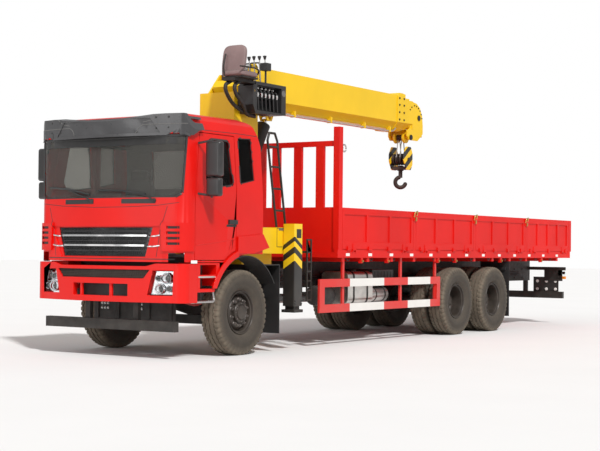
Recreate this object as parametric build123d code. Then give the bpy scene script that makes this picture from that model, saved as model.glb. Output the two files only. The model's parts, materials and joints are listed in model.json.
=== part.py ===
from build123d import *
from math import atan2, degrees, hypot
import os

# Mobile crane: a three-axle cargo truck with a telescopic boom crane behind its cab.
# Millimetres. +X is forward, +Y is the truck's left, +Z is up.
# The origin is on the ground, on the centre line, halfway along the truck.

# Overall
FRONT_X = 6000.0
REAR_X = -6000.0
HINGE_R = 12.0
HINGE_OUT = 14.0
HINGE_PIN_R = 6.0
SLIDE_GAP = 0.5
TURN_GAP = 0.4
OPEN_GAP = 6.0

# Axles, tyres and rims
FRONT_AXLE_X = 4550.0
REAR_AXLE_X = -1250.0
REAR_AXLE_GAP = 1350.0
TYRE_R = 542.5
TYRE_W = 295.0
RIM_R = 254.0
RIM_W = 210.0
RIM_WALL = 10.0
RIM_FLANGE_R = 276.0
FRONT_TYRE_Y = 1002.5
DUAL_Y = 932.5
DUAL_GAP = 330.0
KINGPIN_Y = 850.0
KINGPIN_R = 24.0
SPINDLE_R = 45.0
HUB_R = 120.0
REAR_HUB_R = 125.0
HUB_CAP_R = 92.0
REAR_SPINDLE_R = 60.0

# Frame
RAIL_TOP = 1080.0
RAIL_H = 280.0
RAIL_Y = 430.0
RAIL_FLANGE = 80.0
RAIL_T = 10.0
FRAME_FRONT_X = 5760.0
FRAME_REAR_X = -5860.0
SUBFRAME_TOP = 1180.0
SUBFRAME_FRONT_X = 2400.0
TOW_BORE_R = 20.0

# Cab
CAB_BACK_X = 4213.0
CAB_FRONT_X = 5980.0
CAB_HALF_W = 1200.0
CAB_BOTTOM = 1180.0
CAB_FLOOR = 1290.0
CAB_FLOOR_T = 40.0
CAB_ROOF = 2994.0
CAB_WALL = 50.0
GLASS_IN = 14.0
GLASS_T = 8.0
ARCH_R = 735.0
DOOR_FRONT_X = 5640.0
DOOR_REAR_X = 4790.0
DOOR_BOTTOM = 1200.0
DOOR_TOP = CAB_ROOF - 234
BELT_Z = 2080.0
WINDOW_TOP = CAB_ROOF - 304
DOOR_GAP = 9.0
DOOR_PIN_R = 8.0
DOOR_PIN_IN = 12.0
FENDER_BAND = 80.0

# Bed
BED_FRONT_X = 2420.0
GATE_FACE_X = REAR_X + HINGE_R + HINGE_OUT
GATE_T = 43.0
BED_REAR_X = GATE_FACE_X + GATE_T + OPEN_GAP
BED_HALF_W = 1220.0
BED_BOTTOM = 1238.0
BED_RAIL_TOP = 1352.0
BED_SIDE_TOP = 1943.0
BED_FLOOR = 1345.0
BED_FLOOR_T = 25.0
SIDE_T = 45.0
HEAD_TOP = 2880.0
HEAD_POST_TOP = 3073.0
POST_W = 80.0
FRONT_POST_X = 2350.0
FRONT_POST_W = 100.0

# Crane
SLEW_X = 3350.0
BASE_TOP = 1640.0
BASE_BOTTOM = 1290.0
BASE_HALF_W = 1000.0
BASE_FRONT_X = CAB_BACK_X - 163
TOOLBOX_X = 3560.0
BASE_REAR_X = 2985.0
BEAM_X = 3375.0
BEAM_PITCH = 245.0
BEAM_W = 170.0
BEAM_H = 250.0
BEAM_WALL = 12.0
LEG_W = 190.0
LEG_OUT_Y = 1200.0
LEG_TOP = 1690.0
LEG_BOTTOM = 590.0
JACK_W = 140.0
FOOT_Z = 506.0
FOOT_T = 40.0
FOOT_W = 210.0
TURRET_HALF_W = 295.0
TURRET_PLATE = 28.0
TURRET_FRONT_X = 3630.0
PIVOT_X = 3280.0
PIVOT_Z = 3600.0
PIVOT_R = 45.0
BOOM_TOP = 3896.0
BOOM_BOTTOM = 3336.0
BOOM_SIDE_LOW = 3456.0
BOOM_HALF_W = 250.0
BOOM_UNDER_HALF_W = 150.0
BOOM_WALL = 10.0
BOOM_STEP = 22.0
BOOM_BASE_END_X = -1200.0
CYL_BASE_X = 3200.0
CYL_BASE_Z = 1950.0
CYL_EYE_X = 2450.0
CYL_EYE_Z = 3245.0
CYL_R = 100.0
CYL_BORE_R = 85.0
ROD_R = 60.0
CYL_PIN_R = 30.0
HEAD_PIN_X = -1520.0
HEAD_PIN_Z = 3245.0
HEAD_PIN_R = 30.0
SHEAVE_R = 95.0
HOOK_X = HEAD_PIN_X
BLOCK_TOP = 3090.0
BLOCK_BOTTOM = 2700.0
HOOK_BOTTOM = 2375.0
HOOK_R = 34.0

LEFT = 1
RIGHT = -1


# Helpers: plain solids between limits, outlines carried along one axis, and mirror images
def block(x0, x1, y0, y1, z0, z1):
    centre = ((x0 + x1) / 2, (y0 + y1) / 2, (z0 + z1) / 2)
    return Pos(*centre) * Box(abs(x1 - x0), abs(y1 - y0), abs(z1 - z0))


def side_outline(points, y0, y1):
    """An (x, z) outline carried across from y0 to y1."""
    face = make_face(Polyline(*points, close=True))
    return extrude(Plane((0, y1, 0), x_dir=(1, 0, 0), z_dir=(0, -1, 0)) * face, y1 - y0)


def front_outline(points, x0, x1):
    """A (y, z) outline carried along from x0 to x1."""
    face = make_face(Polyline(*points, close=True))
    return extrude(Plane((x0, 0, 0), x_dir=(0, 1, 0), z_dir=(1, 0, 0)) * face, x1 - x0)


def rod_y(x, z, r, y0, y1):
    return Pos(x, (y0 + y1) / 2, z) * Rot(90, 0, 0) * Cylinder(r, abs(y1 - y0))


def rod_x(y, z, r, x0, x1):
    return Pos((x0 + x1) / 2, y, z) * Rot(0, 90, 0) * Cylinder(r, abs(x1 - x0))


def rod_z(x, y, r, z0, z1):
    return Pos(x, y, (z0 + z1) / 2) * Cylinder(r, abs(z1 - z0))


def rod_between(a, b, r):
    start, end = Vector(*a), Vector(*b)
    way = end - start
    return extrude(Plane(start, z_dir=way.normalized()) * Circle(r), way.length)


def about_y(points):
    """A (radius, y) outline turned about the Y axis."""
    return revolve(make_face(Polyline(*points, close=True)), Axis.Y)


def other_side(shape):
    return mirror(shape, Plane.XZ)


def both(shape):
    return [shape, other_side(shape)]


def joined(shapes):
    shapes = list(shapes)
    total = shapes[0]
    for shape in shapes[1:]:
        total = total + shape
    return total


def save(name, shapes):
    solids = []
    for shape in shapes if isinstance(shapes, (list, tuple)) else [shapes]:
        solids.extend(shape.solids())
    export_step(solids[0] if len(solids) == 1 else Compound(children=solids), f"parts/{name}.step")


os.makedirs("parts", exist_ok=True)


# Wheels: each rim is one turned solid, and each tyre a turned ring seated on it
def tyre_ring(y):
    half = TYRE_W / 2
    crown = TYRE_W * 0.29
    points = [
        (RIM_R, -RIM_W / 2 + 5),
        (RIM_FLANGE_R, -RIM_W / 2),
        (RIM_R + 150, -half),
        (TYRE_R - 30, -half + 14),
        (TYRE_R, -crown),
        (TYRE_R, crown),
        (TYRE_R - 30, half - 14),
        (RIM_R + 150, half),
        (RIM_FLANGE_R, RIM_W / 2),
        (RIM_R, RIM_W / 2 - 5),
    ]
    return Pos(0, y, 0) * about_y(points)


def rim_barrel(y):
    half = RIM_W / 2
    points = [
        (RIM_R - RIM_WALL, -half - 8),
        (RIM_FLANGE_R, -half - 8),
        (RIM_FLANGE_R, -half),
        (RIM_R, -half + 5),
        (RIM_R, half - 5),
        (RIM_FLANGE_R, half),
        (RIM_FLANGE_R, half + 8),
        (RIM_R - RIM_WALL, half + 8),
    ]
    return Pos(0, y, 0) * about_y(points)


def ring_y(r_in, r_out, y0, y1):
    return about_y([(r_in, y0), (r_out, y0), (r_out, y1), (r_in, y1)])


def front_wheel():
    """A single wheel about its own centre, outer side towards +Y."""
    disc_y = 62.0
    rim = rim_barrel(0)
    rim += ring_y(SPINDLE_R + TURN_GAP, RIM_R - RIM_WALL, disc_y - 7, disc_y + 7)
    rim += ring_y(SPINDLE_R + TURN_GAP, HUB_R, disc_y - 90, disc_y + 20)
    rim += rod_y(0, 0, HUB_CAP_R, disc_y + 20, disc_y + 60)
    return tyre_ring(0), rim


def dual_wheel():
    """Twin wheels about the middle of their gap, outer side towards +Y."""
    tyres = [tyre_ring(DUAL_GAP / 2), tyre_ring(-DUAL_GAP / 2)]
    rim = rim_barrel(DUAL_GAP / 2) + rim_barrel(-DUAL_GAP / 2)
    rim += ring_y(REAR_SPINDLE_R + TURN_GAP, RIM_R - RIM_WALL, -12, 12)
    rim += ring_y(REAR_SPINDLE_R + TURN_GAP, RIM_R, 48, 60)
    rim += ring_y(REAR_SPINDLE_R + TURN_GAP, RIM_R, -60, -48)
    rim += ring_y(REAR_SPINDLE_R + TURN_GAP, REAR_HUB_R, -110, 130)
    rim += rod_y(0, 0, HUB_CAP_R, 130, 185)
    return tyres, rim


def place_left(shape, x, y):
    return Pos(x, y, TYRE_R) * shape


tyre, rim = front_wheel()
front_tyre = place_left(tyre, FRONT_AXLE_X, FRONT_TYRE_Y)
front_rim = place_left(rim, FRONT_AXLE_X, FRONT_TYRE_Y)
save("tyre_front_left", front_tyre)
save("rim_front_left", front_rim)
save("tyre_front_right", other_side(front_tyre))
save("rim_front_right", other_side(front_rim))
dual_tyres, dual_rim = dual_wheel()
for number in (1, 2):
    axle_x = REAR_AXLE_X - (number - 1) * REAR_AXLE_GAP
    tyres = [place_left(one, axle_x, DUAL_Y) for one in dual_tyres]
    rims = place_left(dual_rim, axle_x, DUAL_Y)
    save(f"tyres_rear_{number}_left", tyres)
    save(f"rims_rear_{number}_left", rims)
    save(f"tyres_rear_{number}_right", [other_side(one) for one in tyres])
    save(f"rims_rear_{number}_right", other_side(rims))

# Steering knuckles: a yoke round the beam's end, with the spindle that carries the wheel
KNUCKLE_LOW = TYRE_R - 110
KNUCKLE_HIGH = TYRE_R + 110
BOSS_H = 60.0
BOSS_R = 52.0
YOKE_X0, YOKE_X1 = FRONT_AXLE_X - 50, FRONT_AXLE_X + 50
YOKE_Y0, YOKE_Y1 = KINGPIN_Y - 50, KINGPIN_Y + 84
YOKE_T = 44.0
knuckle = joined(
    [
        block(YOKE_X0, YOKE_X1, YOKE_Y0, YOKE_Y1, KNUCKLE_LOW, KNUCKLE_LOW + YOKE_T),
        block(YOKE_X0, YOKE_X1, YOKE_Y0, YOKE_Y1, KNUCKLE_HIGH - YOKE_T, KNUCKLE_HIGH),
        block(YOKE_X0, YOKE_X1, KINGPIN_Y + 62, KINGPIN_Y + 90, KNUCKLE_LOW, KNUCKLE_HIGH),
        rod_y(FRONT_AXLE_X, TYRE_R, SPINDLE_R, KINGPIN_Y + 85, FRONT_TYRE_Y + 80),
        block(FRONT_AXLE_X - 260, FRONT_AXLE_X - 40, KINGPIN_Y - 40, KINGPIN_Y, KNUCKLE_LOW, KNUCKLE_LOW + 30),
    ]
)
knuckle -= rod_z(FRONT_AXLE_X, KINGPIN_Y, KINGPIN_R + TURN_GAP, KNUCKLE_LOW - 10, KNUCKLE_HIGH + 10)
save("knuckle_left", knuckle)
save("knuckle_right", other_side(knuckle))

# Axles: the front beam with its kingpins, and two driven housings
beam_points = [
    (-KINGPIN_Y - 30, TYRE_R - BOSS_H),
    (-KINGPIN_Y + 60, TYRE_R - BOSS_H),
    (-RAIL_Y - 120, TYRE_R - 170),
    (RAIL_Y + 120, TYRE_R - 170),
    (KINGPIN_Y - 60, TYRE_R - BOSS_H),
    (KINGPIN_Y + 30, TYRE_R - BOSS_H),
    (KINGPIN_Y + 30, TYRE_R + BOSS_H),
    (KINGPIN_Y - 110, TYRE_R + BOSS_H),
    (RAIL_Y + 80, TYRE_R - 55),
    (-RAIL_Y - 80, TYRE_R - 55),
    (-KINGPIN_Y + 110, TYRE_R + BOSS_H),
    (-KINGPIN_Y - 30, TYRE_R + BOSS_H),
]
front_beam = front_outline(beam_points, FRONT_AXLE_X - 45, FRONT_AXLE_X + 45)
for side in (LEFT, RIGHT):
    front_beam += rod_z(FRONT_AXLE_X, side * KINGPIN_Y, BOSS_R, TYRE_R - BOSS_H, TYRE_R + BOSS_H)
    front_beam += rod_z(FRONT_AXLE_X, side * KINGPIN_Y, KINGPIN_R, KNUCKLE_LOW - 20, KNUCKLE_HIGH + 20)
HOUSING_R = 75.0
rear_axles = []
for number in (0, 1):
    axle_x = REAR_AXLE_X - number * REAR_AXLE_GAP
    housing = rod_y(axle_x, TYRE_R, HOUSING_R, -DUAL_Y + 150, DUAL_Y - 150)
    housing += rod_y(axle_x, TYRE_R, REAR_SPINDLE_R, -DUAL_Y - 120, DUAL_Y + 120)
    housing += Pos(axle_x, 0, TYRE_R) * Rot(90, 0, 0) * Cylinder(215, 180)
    housing += rod_x(0, TYRE_R, 110, axle_x, axle_x + 260)
    rear_axles.append(housing)
save("axles", [front_beam] + rear_axles)

# Springs: leaf packs under the rails
SPRING_Z = TYRE_R - 55
front_spring_points = [
    (FRONT_AXLE_X + 740, RAIL_TOP - RAIL_H),
    (FRONT_AXLE_X + 660, RAIL_TOP - RAIL_H),
    (FRONT_AXLE_X + 640, RAIL_TOP - RAIL_H - 90),
    (FRONT_AXLE_X + 80, SPRING_Z + 110),
    (FRONT_AXLE_X - 80, SPRING_Z + 110),
    (FRONT_AXLE_X - 640, RAIL_TOP - RAIL_H - 90),
    (FRONT_AXLE_X - 660, RAIL_TOP - RAIL_H),
    (FRONT_AXLE_X - 740, RAIL_TOP - RAIL_H),
    (FRONT_AXLE_X - 720, RAIL_TOP - RAIL_H - 150),
    (FRONT_AXLE_X - 80, SPRING_Z),
    (FRONT_AXLE_X + 80, SPRING_Z),
    (FRONT_AXLE_X + 720, RAIL_TOP - RAIL_H - 150),
]
BOGIE_X = REAR_AXLE_X - REAR_AXLE_GAP / 2
rear_spring_points = [
    (BOGIE_X + 130, RAIL_TOP - RAIL_H),
    (BOGIE_X - 130, RAIL_TOP - RAIL_H),
    (BOGIE_X - 130, RAIL_TOP - RAIL_H - 60),
    (BOGIE_X - REAR_AXLE_GAP / 2 - 60, TYRE_R + 110),
    (BOGIE_X - REAR_AXLE_GAP / 2 - 60, TYRE_R + 74),
    (BOGIE_X - REAR_AXLE_GAP / 2 + 60, TYRE_R + 74),
    (BOGIE_X - 130, TYRE_R + 60),
    (BOGIE_X + 130, TYRE_R + 60),
    (BOGIE_X + REAR_AXLE_GAP / 2 - 60, TYRE_R + 74),
    (BOGIE_X + REAR_AXLE_GAP / 2 + 60, TYRE_R + 74),
    (BOGIE_X + REAR_AXLE_GAP / 2 + 60, TYRE_R + 110),
    (BOGIE_X + 130, RAIL_TOP - RAIL_H - 60),
]
SPRING_W = 90.0
springs = []
for points in (front_spring_points, rear_spring_points):
    springs += both(side_outline(points, RAIL_Y - SPRING_W, RAIL_Y))
for housing_x in (REAR_AXLE_X, REAR_AXLE_X - REAR_AXLE_GAP):
    springs = [spring - rod_y(housing_x, TYRE_R, HOUSING_R, -DUAL_Y, DUAL_Y) for spring in springs]
save("springs", springs)

# Frame: two channel rails, cross members, and the subframe under the bed
channel = [
    (RAIL_Y, RAIL_TOP),
    (RAIL_Y, RAIL_TOP - RAIL_H),
    (RAIL_Y - RAIL_FLANGE, RAIL_TOP - RAIL_H),
    (RAIL_Y - RAIL_FLANGE, RAIL_TOP - RAIL_H + RAIL_T),
    (RAIL_Y - RAIL_T, RAIL_TOP - RAIL_H + RAIL_T),
    (RAIL_Y - RAIL_T, RAIL_TOP - RAIL_T),
    (RAIL_Y - RAIL_FLANGE, RAIL_TOP - RAIL_T),
    (RAIL_Y - RAIL_FLANGE, RAIL_TOP),
]
rail = front_outline(channel, FRAME_REAR_X, FRAME_FRONT_X)
runner = block(FRAME_REAR_X, SUBFRAME_FRONT_X, RAIL_Y - 80, RAIL_Y, RAIL_TOP, SUBFRAME_TOP)
frame_parts = both(rail) + both(runner)
for cross_x in (FRAME_FRONT_X - 60, 3000, 1500, 0, BOGIE_X, -3600, FRAME_REAR_X + 60):
    frame_parts.append(block(cross_x - 50, cross_x + 50, -RAIL_Y + 5, RAIL_Y - 5, RAIL_TOP - 220, RAIL_TOP - 60))
save("frame", joined(frame_parts))

# Engine, gearbox and propeller shaft as plain solids at their real places
PROP_Z = 700.0
engine = block(4300, 5300, -330, 330, 660, 1270)
gearbox = block(3700, 4300, -200, 200, 640, 1000)
shaft = rod_between((3700, 0, PROP_Z), (REAR_AXLE_X + 262, 0, TYRE_R), 55)
middle_shaft = rod_between((REAR_AXLE_X - 215, 0, TYRE_R), (REAR_AXLE_X - REAR_AXLE_GAP + 260, 0, TYRE_R), 50)
save("drivetrain", [joined([engine, gearbox, shaft]), middle_shaft])

# Cab: one hollow form from a side, a plan and a front outline, each set in by the same amount
side_face = make_face(
    Polyline(
        (CAB_FRONT_X - 15, CAB_BOTTOM),
        (CAB_FRONT_X, 1500),
        (CAB_FRONT_X, 1900),
        (CAB_FRONT_X - 120, CAB_ROOF - 294),
        (CAB_FRONT_X - 240, CAB_ROOF - 64),
        (CAB_FRONT_X - 380, CAB_ROOF - 9),
        (CAB_BACK_X + 337, CAB_ROOF),
        (CAB_BACK_X + 159, CAB_ROOF - 58),
        (CAB_BACK_X + 78, CAB_ROOF - 223),
        (CAB_BACK_X + 27, CAB_ROOF - 334),
        (CAB_BACK_X, 1874),
        (CAB_BACK_X, CAB_BOTTOM),
        close=True,
    )
)
NOSE_CORNER_X = 5840.0
NOSE_SIDE_X = 5650.0


def nose_wires(corner_x, side_x, half_w, front_x, back_x):
    """A plan of a rounded nose: a wide arc across the front and a tight one round each corner."""
    corner_y = half_w - 150
    middle = ((corner_x + side_x) / 2 + 30, half_w - 52)
    nose = ThreePointArc((corner_x, corner_y), (front_x, 0), (corner_x, -corner_y))
    right = ThreePointArc((corner_x, -corner_y), (middle[0], -middle[1]), (side_x, -half_w))
    sides = Polyline((side_x, -half_w), (back_x, -half_w), (back_x, half_w), (side_x, half_w))
    left = ThreePointArc((side_x, half_w), middle, (corner_x, corner_y))
    return [nose, right, sides, left]


def plan_face():
    return make_face(nose_wires(NOSE_CORNER_X, NOSE_SIDE_X, CAB_HALF_W, CAB_FRONT_X, CAB_BACK_X))


front_face = make_face(
    Polyline(
        (-CAB_HALF_W, CAB_BOTTOM),
        (CAB_HALF_W, CAB_BOTTOM),
        (CAB_HALF_W, 2050),
        (CAB_HALF_W - 40, CAB_ROOF - 194),
        (CAB_HALF_W - 75, CAB_ROOF - 90),
        (CAB_HALF_W - 130, CAB_ROOF - 35),
        (CAB_HALF_W - 220, CAB_ROOF + 1),
        (-CAB_HALF_W + 220, CAB_ROOF + 1),
        (-CAB_HALF_W + 130, CAB_ROOF - 35),
        (-CAB_HALF_W + 75, CAB_ROOF - 90),
        (-CAB_HALF_W + 40, CAB_ROOF - 194),
        (-CAB_HALF_W, 2050),
        close=True,
    )
)
SIDE_IN_Y, SIDE_OUT_Y = CAB_HALF_W - 200, CAB_HALF_W + 200


def set_in(face, inset):
    return offset(face, -inset, kind=Kind.INTERSECTION) if inset else face


def cab_form(inset):
    side = Plane((0, SIDE_OUT_Y, 0), x_dir=(1, 0, 0), z_dir=(0, -1, 0)) * set_in(side_face, inset)
    front = Plane((4000, 0, 0), x_dir=(0, 1, 0), z_dir=(1, 0, 0)) * set_in(front_face, inset)
    plan = Pos(0, 0, 1000) * set_in(plan_face(), inset)
    return extrude(side, 2 * SIDE_OUT_Y) & extrude(front, 2200) & extrude(plan, 2200)


outer = cab_form(0)
inner = cab_form(CAB_WALL)
walls = outer - inner
glass_layer = cab_form(GLASS_IN) - cab_form(GLASS_IN + GLASS_T)

# The windows: outlines of (y, z) at the front and back, and of (x, z) at the sides
WINDSCREEN = [
    (-CAB_HALF_W + 75, 2010),
    (-CAB_HALF_W + 160, 1955),
    (CAB_HALF_W - 160, 1955),
    (CAB_HALF_W - 75, 2010),
    (CAB_HALF_W - 40, CAB_ROOF - 270),
    (-CAB_HALF_W + 40, CAB_ROOF - 270),
]
windscreen_cut = front_outline(WINDSCREEN, 5690, CAB_FRONT_X + 100)
DOOR_WINDOW = [
    (5330, BELT_Z),
    (5420, BELT_Z + 110),
    (5330, WINDOW_TOP),
    (4930, WINDOW_TOP),
    (4850, BELT_Z + 60),
]
QUARTER_WINDOW = [(4707, 2158), (4735, WINDOW_TOP + 50), (4450, WINDOW_TOP + 62), (4398, 2218)]
REAR_WINDOW = [(-600, 2150), (600, 2150), (600, WINDOW_TOP - 40), (-600, WINDOW_TOP - 40)]
door_window_cut = side_outline(DOOR_WINDOW, SIDE_IN_Y, SIDE_OUT_Y)
quarter_cut = side_outline(QUARTER_WINDOW, SIDE_IN_Y, SIDE_OUT_Y)
rear_cut = front_outline(REAR_WINDOW, CAB_BACK_X - 60, CAB_BACK_X + 190)

arches = rod_y(FRONT_AXLE_X, TYRE_R, ARCH_R, -SIDE_OUT_Y, SIDE_OUT_Y)
DOOR_OUTLINE = [
    (DOOR_FRONT_X, DOOR_BOTTOM),
    (DOOR_FRONT_X, 1990),
    (DOOR_FRONT_X - 120, DOOR_TOP),
    (DOOR_REAR_X + 20, DOOR_TOP),
    (DOOR_REAR_X, 2100),
    (DOOR_REAR_X, DOOR_BOTTOM),
]
door_face = make_face(Polyline(*DOOR_OUTLINE, close=True))


def door_prism(inset):
    """The door's outline set in by a gap, cut by a circle that keeps it above the fender."""
    face = set_in(door_face, inset)
    prism = extrude(Plane((0, SIDE_OUT_Y, 0), x_dir=(1, 0, 0), z_dir=(0, -1, 0)) * face, SIDE_OUT_Y - SIDE_IN_Y)
    return prism - rod_y(FRONT_AXLE_X, TYRE_R, ARCH_R + FENDER_BAND + inset, SIDE_IN_Y, SIDE_OUT_Y)


HINGE_X = DOOR_FRONT_X - DOOR_GAP - 22
HINGE_Y = CAB_HALF_W - DOOR_PIN_IN


CAB_IN_W = CAB_HALF_W - CAB_WALL
cab_shell = walls - block(CAB_BACK_X + CAB_WALL, CAB_FRONT_X - 120, -CAB_IN_W, CAB_IN_W, CAB_BOTTOM - 10, CAB_FLOOR)
cab_shell += block(CAB_BACK_X + 10, 5700, -CAB_IN_W - 10, CAB_IN_W + 10, CAB_FLOOR, CAB_FLOOR + CAB_FLOOR_T)
cab_shell -= arches
cab_shell -= block(CAB_BACK_X - 10, FRONT_AXLE_X, -SIDE_OUT_Y, SIDE_OUT_Y, CAB_BOTTOM - 10, CAB_FLOOR - 7)
for cut in [windscreen_cut, rear_cut] + both(quarter_cut) + both(door_prism(0)):
    cab_shell -= cut

# The front panel: a shallow recess, the grille's pocket in it, and corner panels with four louvres each
GRILLE_RECESS = [(-695, 1228), (695, 1228), (885, 1612), (-885, 1612)]
RECESS_DEPTH = 12.0
GRILLE = [(-660, 1240), (660, 1240), (760, 1600), (-760, 1600)]
GRILLE_DEPTH = 34.0
CORNER_PANEL = [(900, 1310), (CAB_HALF_W + 30, 1310), (CAB_HALF_W + 30, 1655), (880, 1655)]
CORNER_PANEL_OUT = 24.0
PANEL_REAR_X = 5665.0
FACE_X0, FACE_X1 = 5700.0, 6100.0
cab_shell -= front_outline(GRILLE_RECESS, FACE_X0, FACE_X1) & (outer - cab_form(RECESS_DEPTH))
cab_shell -= front_outline(GRILLE, FACE_X0, FACE_X1) & (outer - cab_form(GRILLE_DEPTH))
corner_skin = cab_form(-CORNER_PANEL_OUT) - cab_form(2)
corner_panel = front_outline(CORNER_PANEL, PANEL_REAR_X, FACE_X1) & corner_skin
for louvre_z in (1385, 1450, 1515, 1580):
    slot = block(5700, FACE_X1, 960, 1120, louvre_z, louvre_z + 34)
    corner_panel -= slot & (cab_form(-CORNER_PANEL_OUT) - cab_form(-4))
for panel in both(corner_panel):
    cab_shell += panel
for side in (LEFT, RIGHT):
    cab_shell += rod_z(HINGE_X, side * HINGE_Y, DOOR_PIN_R, CAB_BOTTOM + 5, DOOR_BOTTOM + 80)
save("cab_shell", cab_shell)
cab_glass = [glass_layer & windscreen_cut, glass_layer & rear_cut]
for cut in both(quarter_cut):
    cab_glass.append(glass_layer & cut)
save("cab_glass", cab_glass)

# Doors: the same walls inside the door's outline, with the hinge at the front edge
door = walls & door_prism(DOOR_GAP)
sill_top = CAB_BOTTOM + CAB_WALL + 5
door -= block(DOOR_REAR_X, DOOR_FRONT_X, SIDE_IN_Y - 5, CAB_HALF_W - CAB_WALL, CAB_BOTTOM - 5, sill_top)
door -= door_window_cut
door -= rod_z(HINGE_X, HINGE_Y, DOOR_PIN_R + TURN_GAP, DOOR_BOTTOM - 10, DOOR_BOTTOM + 90)
door_glass = glass_layer & door_window_cut
handle = block(4800, 4960, CAB_HALF_W, CAB_HALF_W + 22, 1660, 1700)
door += handle
save("door_left", door)
save("door_right", other_side(door))
save("door_glass_left", door_glass)
save("door_glass_right", other_side(door_glass))

# Grille: a dark panel with louvre bars and two long bright bars across it
GRILLE_GAP = 5.0
grille_panel = [
    (-660 + GRILLE_GAP, 1240 + GRILLE_GAP),
    (660 - GRILLE_GAP, 1240 + GRILLE_GAP),
    (760 - GRILLE_GAP, 1600 - GRILLE_GAP),
    (-760 + GRILLE_GAP, 1600 - GRILLE_GAP),
]
grille = front_outline(grille_panel, FACE_X0, FACE_X1) & (cab_form(RECESS_DEPTH + 12) - cab_form(GRILLE_DEPTH))
GRILLE_SPREAD = 100 / 360
for bar_z, bar_h, lift in ((1305, 14, 14), (1365, 24, 4), (1425, 14, 14), (1485, 24, 4), (1545, 14, 14)):
    reach = 650 + (bar_z - 1240) * GRILLE_SPREAD
    grille += block(FACE_X0, FACE_X1, -reach, reach, bar_z, bar_z + bar_h) & (cab_form(lift) - cab_form(GRILLE_DEPTH - 8))
save("grille", grille)

# Bumper: a rounded nose in plan, its ends higher than its middle, with lamps, a mesh strip and a slot for the plate
BUMPER_Z0, BUMPER_MID_TOP, BUMPER_END_TOP = 690.0, 1128.0, 1162.0
BUMPER_T = 70.0
BUMPER_REAR_X = 5580.0


def bumper_plan(inset, z0, z1):
    corner_x, side_x = NOSE_CORNER_X + 20 - inset, NOSE_SIDE_X + 90 - inset
    wires = nose_wires(corner_x, side_x, CAB_HALF_W + 5 - inset, FRONT_X - inset, 5000)
    return extrude(Pos(0, 0, z0) * make_face(wires), z1 - z0)


bumper_outline = [
    (-CAB_HALF_W - 10, BUMPER_Z0),
    (CAB_HALF_W + 10, BUMPER_Z0),
    (CAB_HALF_W + 10, BUMPER_END_TOP),
    (820, BUMPER_END_TOP),
    (690, BUMPER_MID_TOP),
    (-690, BUMPER_MID_TOP),
    (-820, BUMPER_END_TOP),
    (-CAB_HALF_W - 10, BUMPER_END_TOP),
]
bumper = bumper_plan(0, 600, 1300) - bumper_plan(BUMPER_T, 600, 1300)
bumper = bumper & front_outline(bumper_outline, BUMPER_REAR_X, FACE_X1)
HEADLAMP = [(713, 777), (1044, 780), (1054, 1077), (786, 1078)]
MESH_STRIP = [(-660, 980), (660, 980), (745, 1085), (-745, 1085)]
PLATE_SLOT = [(-440, 762), (440, 762), (440, 910), (-440, 910)]
lamp_prism = front_outline(HEADLAMP, FACE_X0, FACE_X1)
mesh_prism = front_outline(MESH_STRIP, FACE_X0, FACE_X1)
slot_prism = front_outline(PLATE_SLOT, FACE_X0, FACE_X1)
for cut in both(lamp_prism) + [mesh_prism, slot_prism]:
    bumper -= cut
bumper += mesh_prism & (bumper_plan(25, 900, 1100) - bumper_plan(50, 900, 1100))
UPRIGHT_YS = (-317, 171)
for upright_y in UPRIGHT_YS:
    upright = block(FACE_X0, FACE_X1, upright_y - 20, upright_y + 20, 757, 915)
    bumper += upright & (bumper_plan(20, 700, 1000) - bumper_plan(50, 700, 1000))
for y0 in (RAIL_Y - 80, -RAIL_Y):
    bumper += block(FRAME_FRONT_X, 5945, y0, y0 + 80, 920, 975)
save("front_bumper", bumper)
lamp_body = bumper_plan(6, 700, 1150) - bumper_plan(60, 700, 1150)
headlamp = lamp_body & lamp_prism
tail_lamp = block(-5760, -5720, 1075, 1195, 905, 1005)
save("lamps", both(headlamp) + both(tail_lamp))

# Under-run bars at both ends, their posts, the tail lamps' brackets and the towing jaw
POST_TOP = RAIL_TOP - RAIL_H
front_bar = block(5740, 5820, -1050, 1050, 341, 470)
rear_bar = block(-5800, -5720, -1154, 1154, 475, 600)
for y0 in (RAIL_Y - 80, -RAIL_Y):
    front_bar += block(5700, 5760, y0, y0 + 80, 400, POST_TOP)
    rear_bar += block(-5790, -5730, y0, y0 + 80, 475, POST_TOP)
LAMP_BEAM_X0, LAMP_BEAM_X1 = -5790.0, -5760.0
for side in (LEFT, RIGHT):
    rear_bar += block(LAMP_BEAM_X0, LAMP_BEAM_X1, side * RAIL_Y, side * 1195, 1005, 1065)
    rear_bar += block(LAMP_BEAM_X0, LAMP_BEAM_X1, side * 770, side * 1130, 800, 1010)
jaw_face = FRAME_REAR_X + 10
tow_jaw = block(jaw_face - 20, jaw_face, -80, 80, 870, 1010)
for jaw_z in (880, 975):
    tow_jaw += block(jaw_face - 110, jaw_face - 15, -50, 50, jaw_z, jaw_z + 25)
tow_jaw -= rod_z(jaw_face - 65, 0, TOW_BORE_R, 860, 1020)
save("underrun_bars", [front_bar, rear_bar, tow_jaw])

# Sun visor over the windscreen: a rounded nose with sloping ends and a shallow middle panel
VISOR_Z0, VISOR_Z1 = CAB_ROOF - 289, CAB_ROOF - 26
VISOR_REAR_X = 5490.0


def visor_plan(inset):
    wires = nose_wires(5822 - inset, 5672 - inset, CAB_HALF_W + 20 - inset, 5960 - inset, 5000)
    return extrude(Pos(0, 0, VISOR_Z0) * make_face(wires), VISOR_Z1 - VISOR_Z0)


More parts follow.
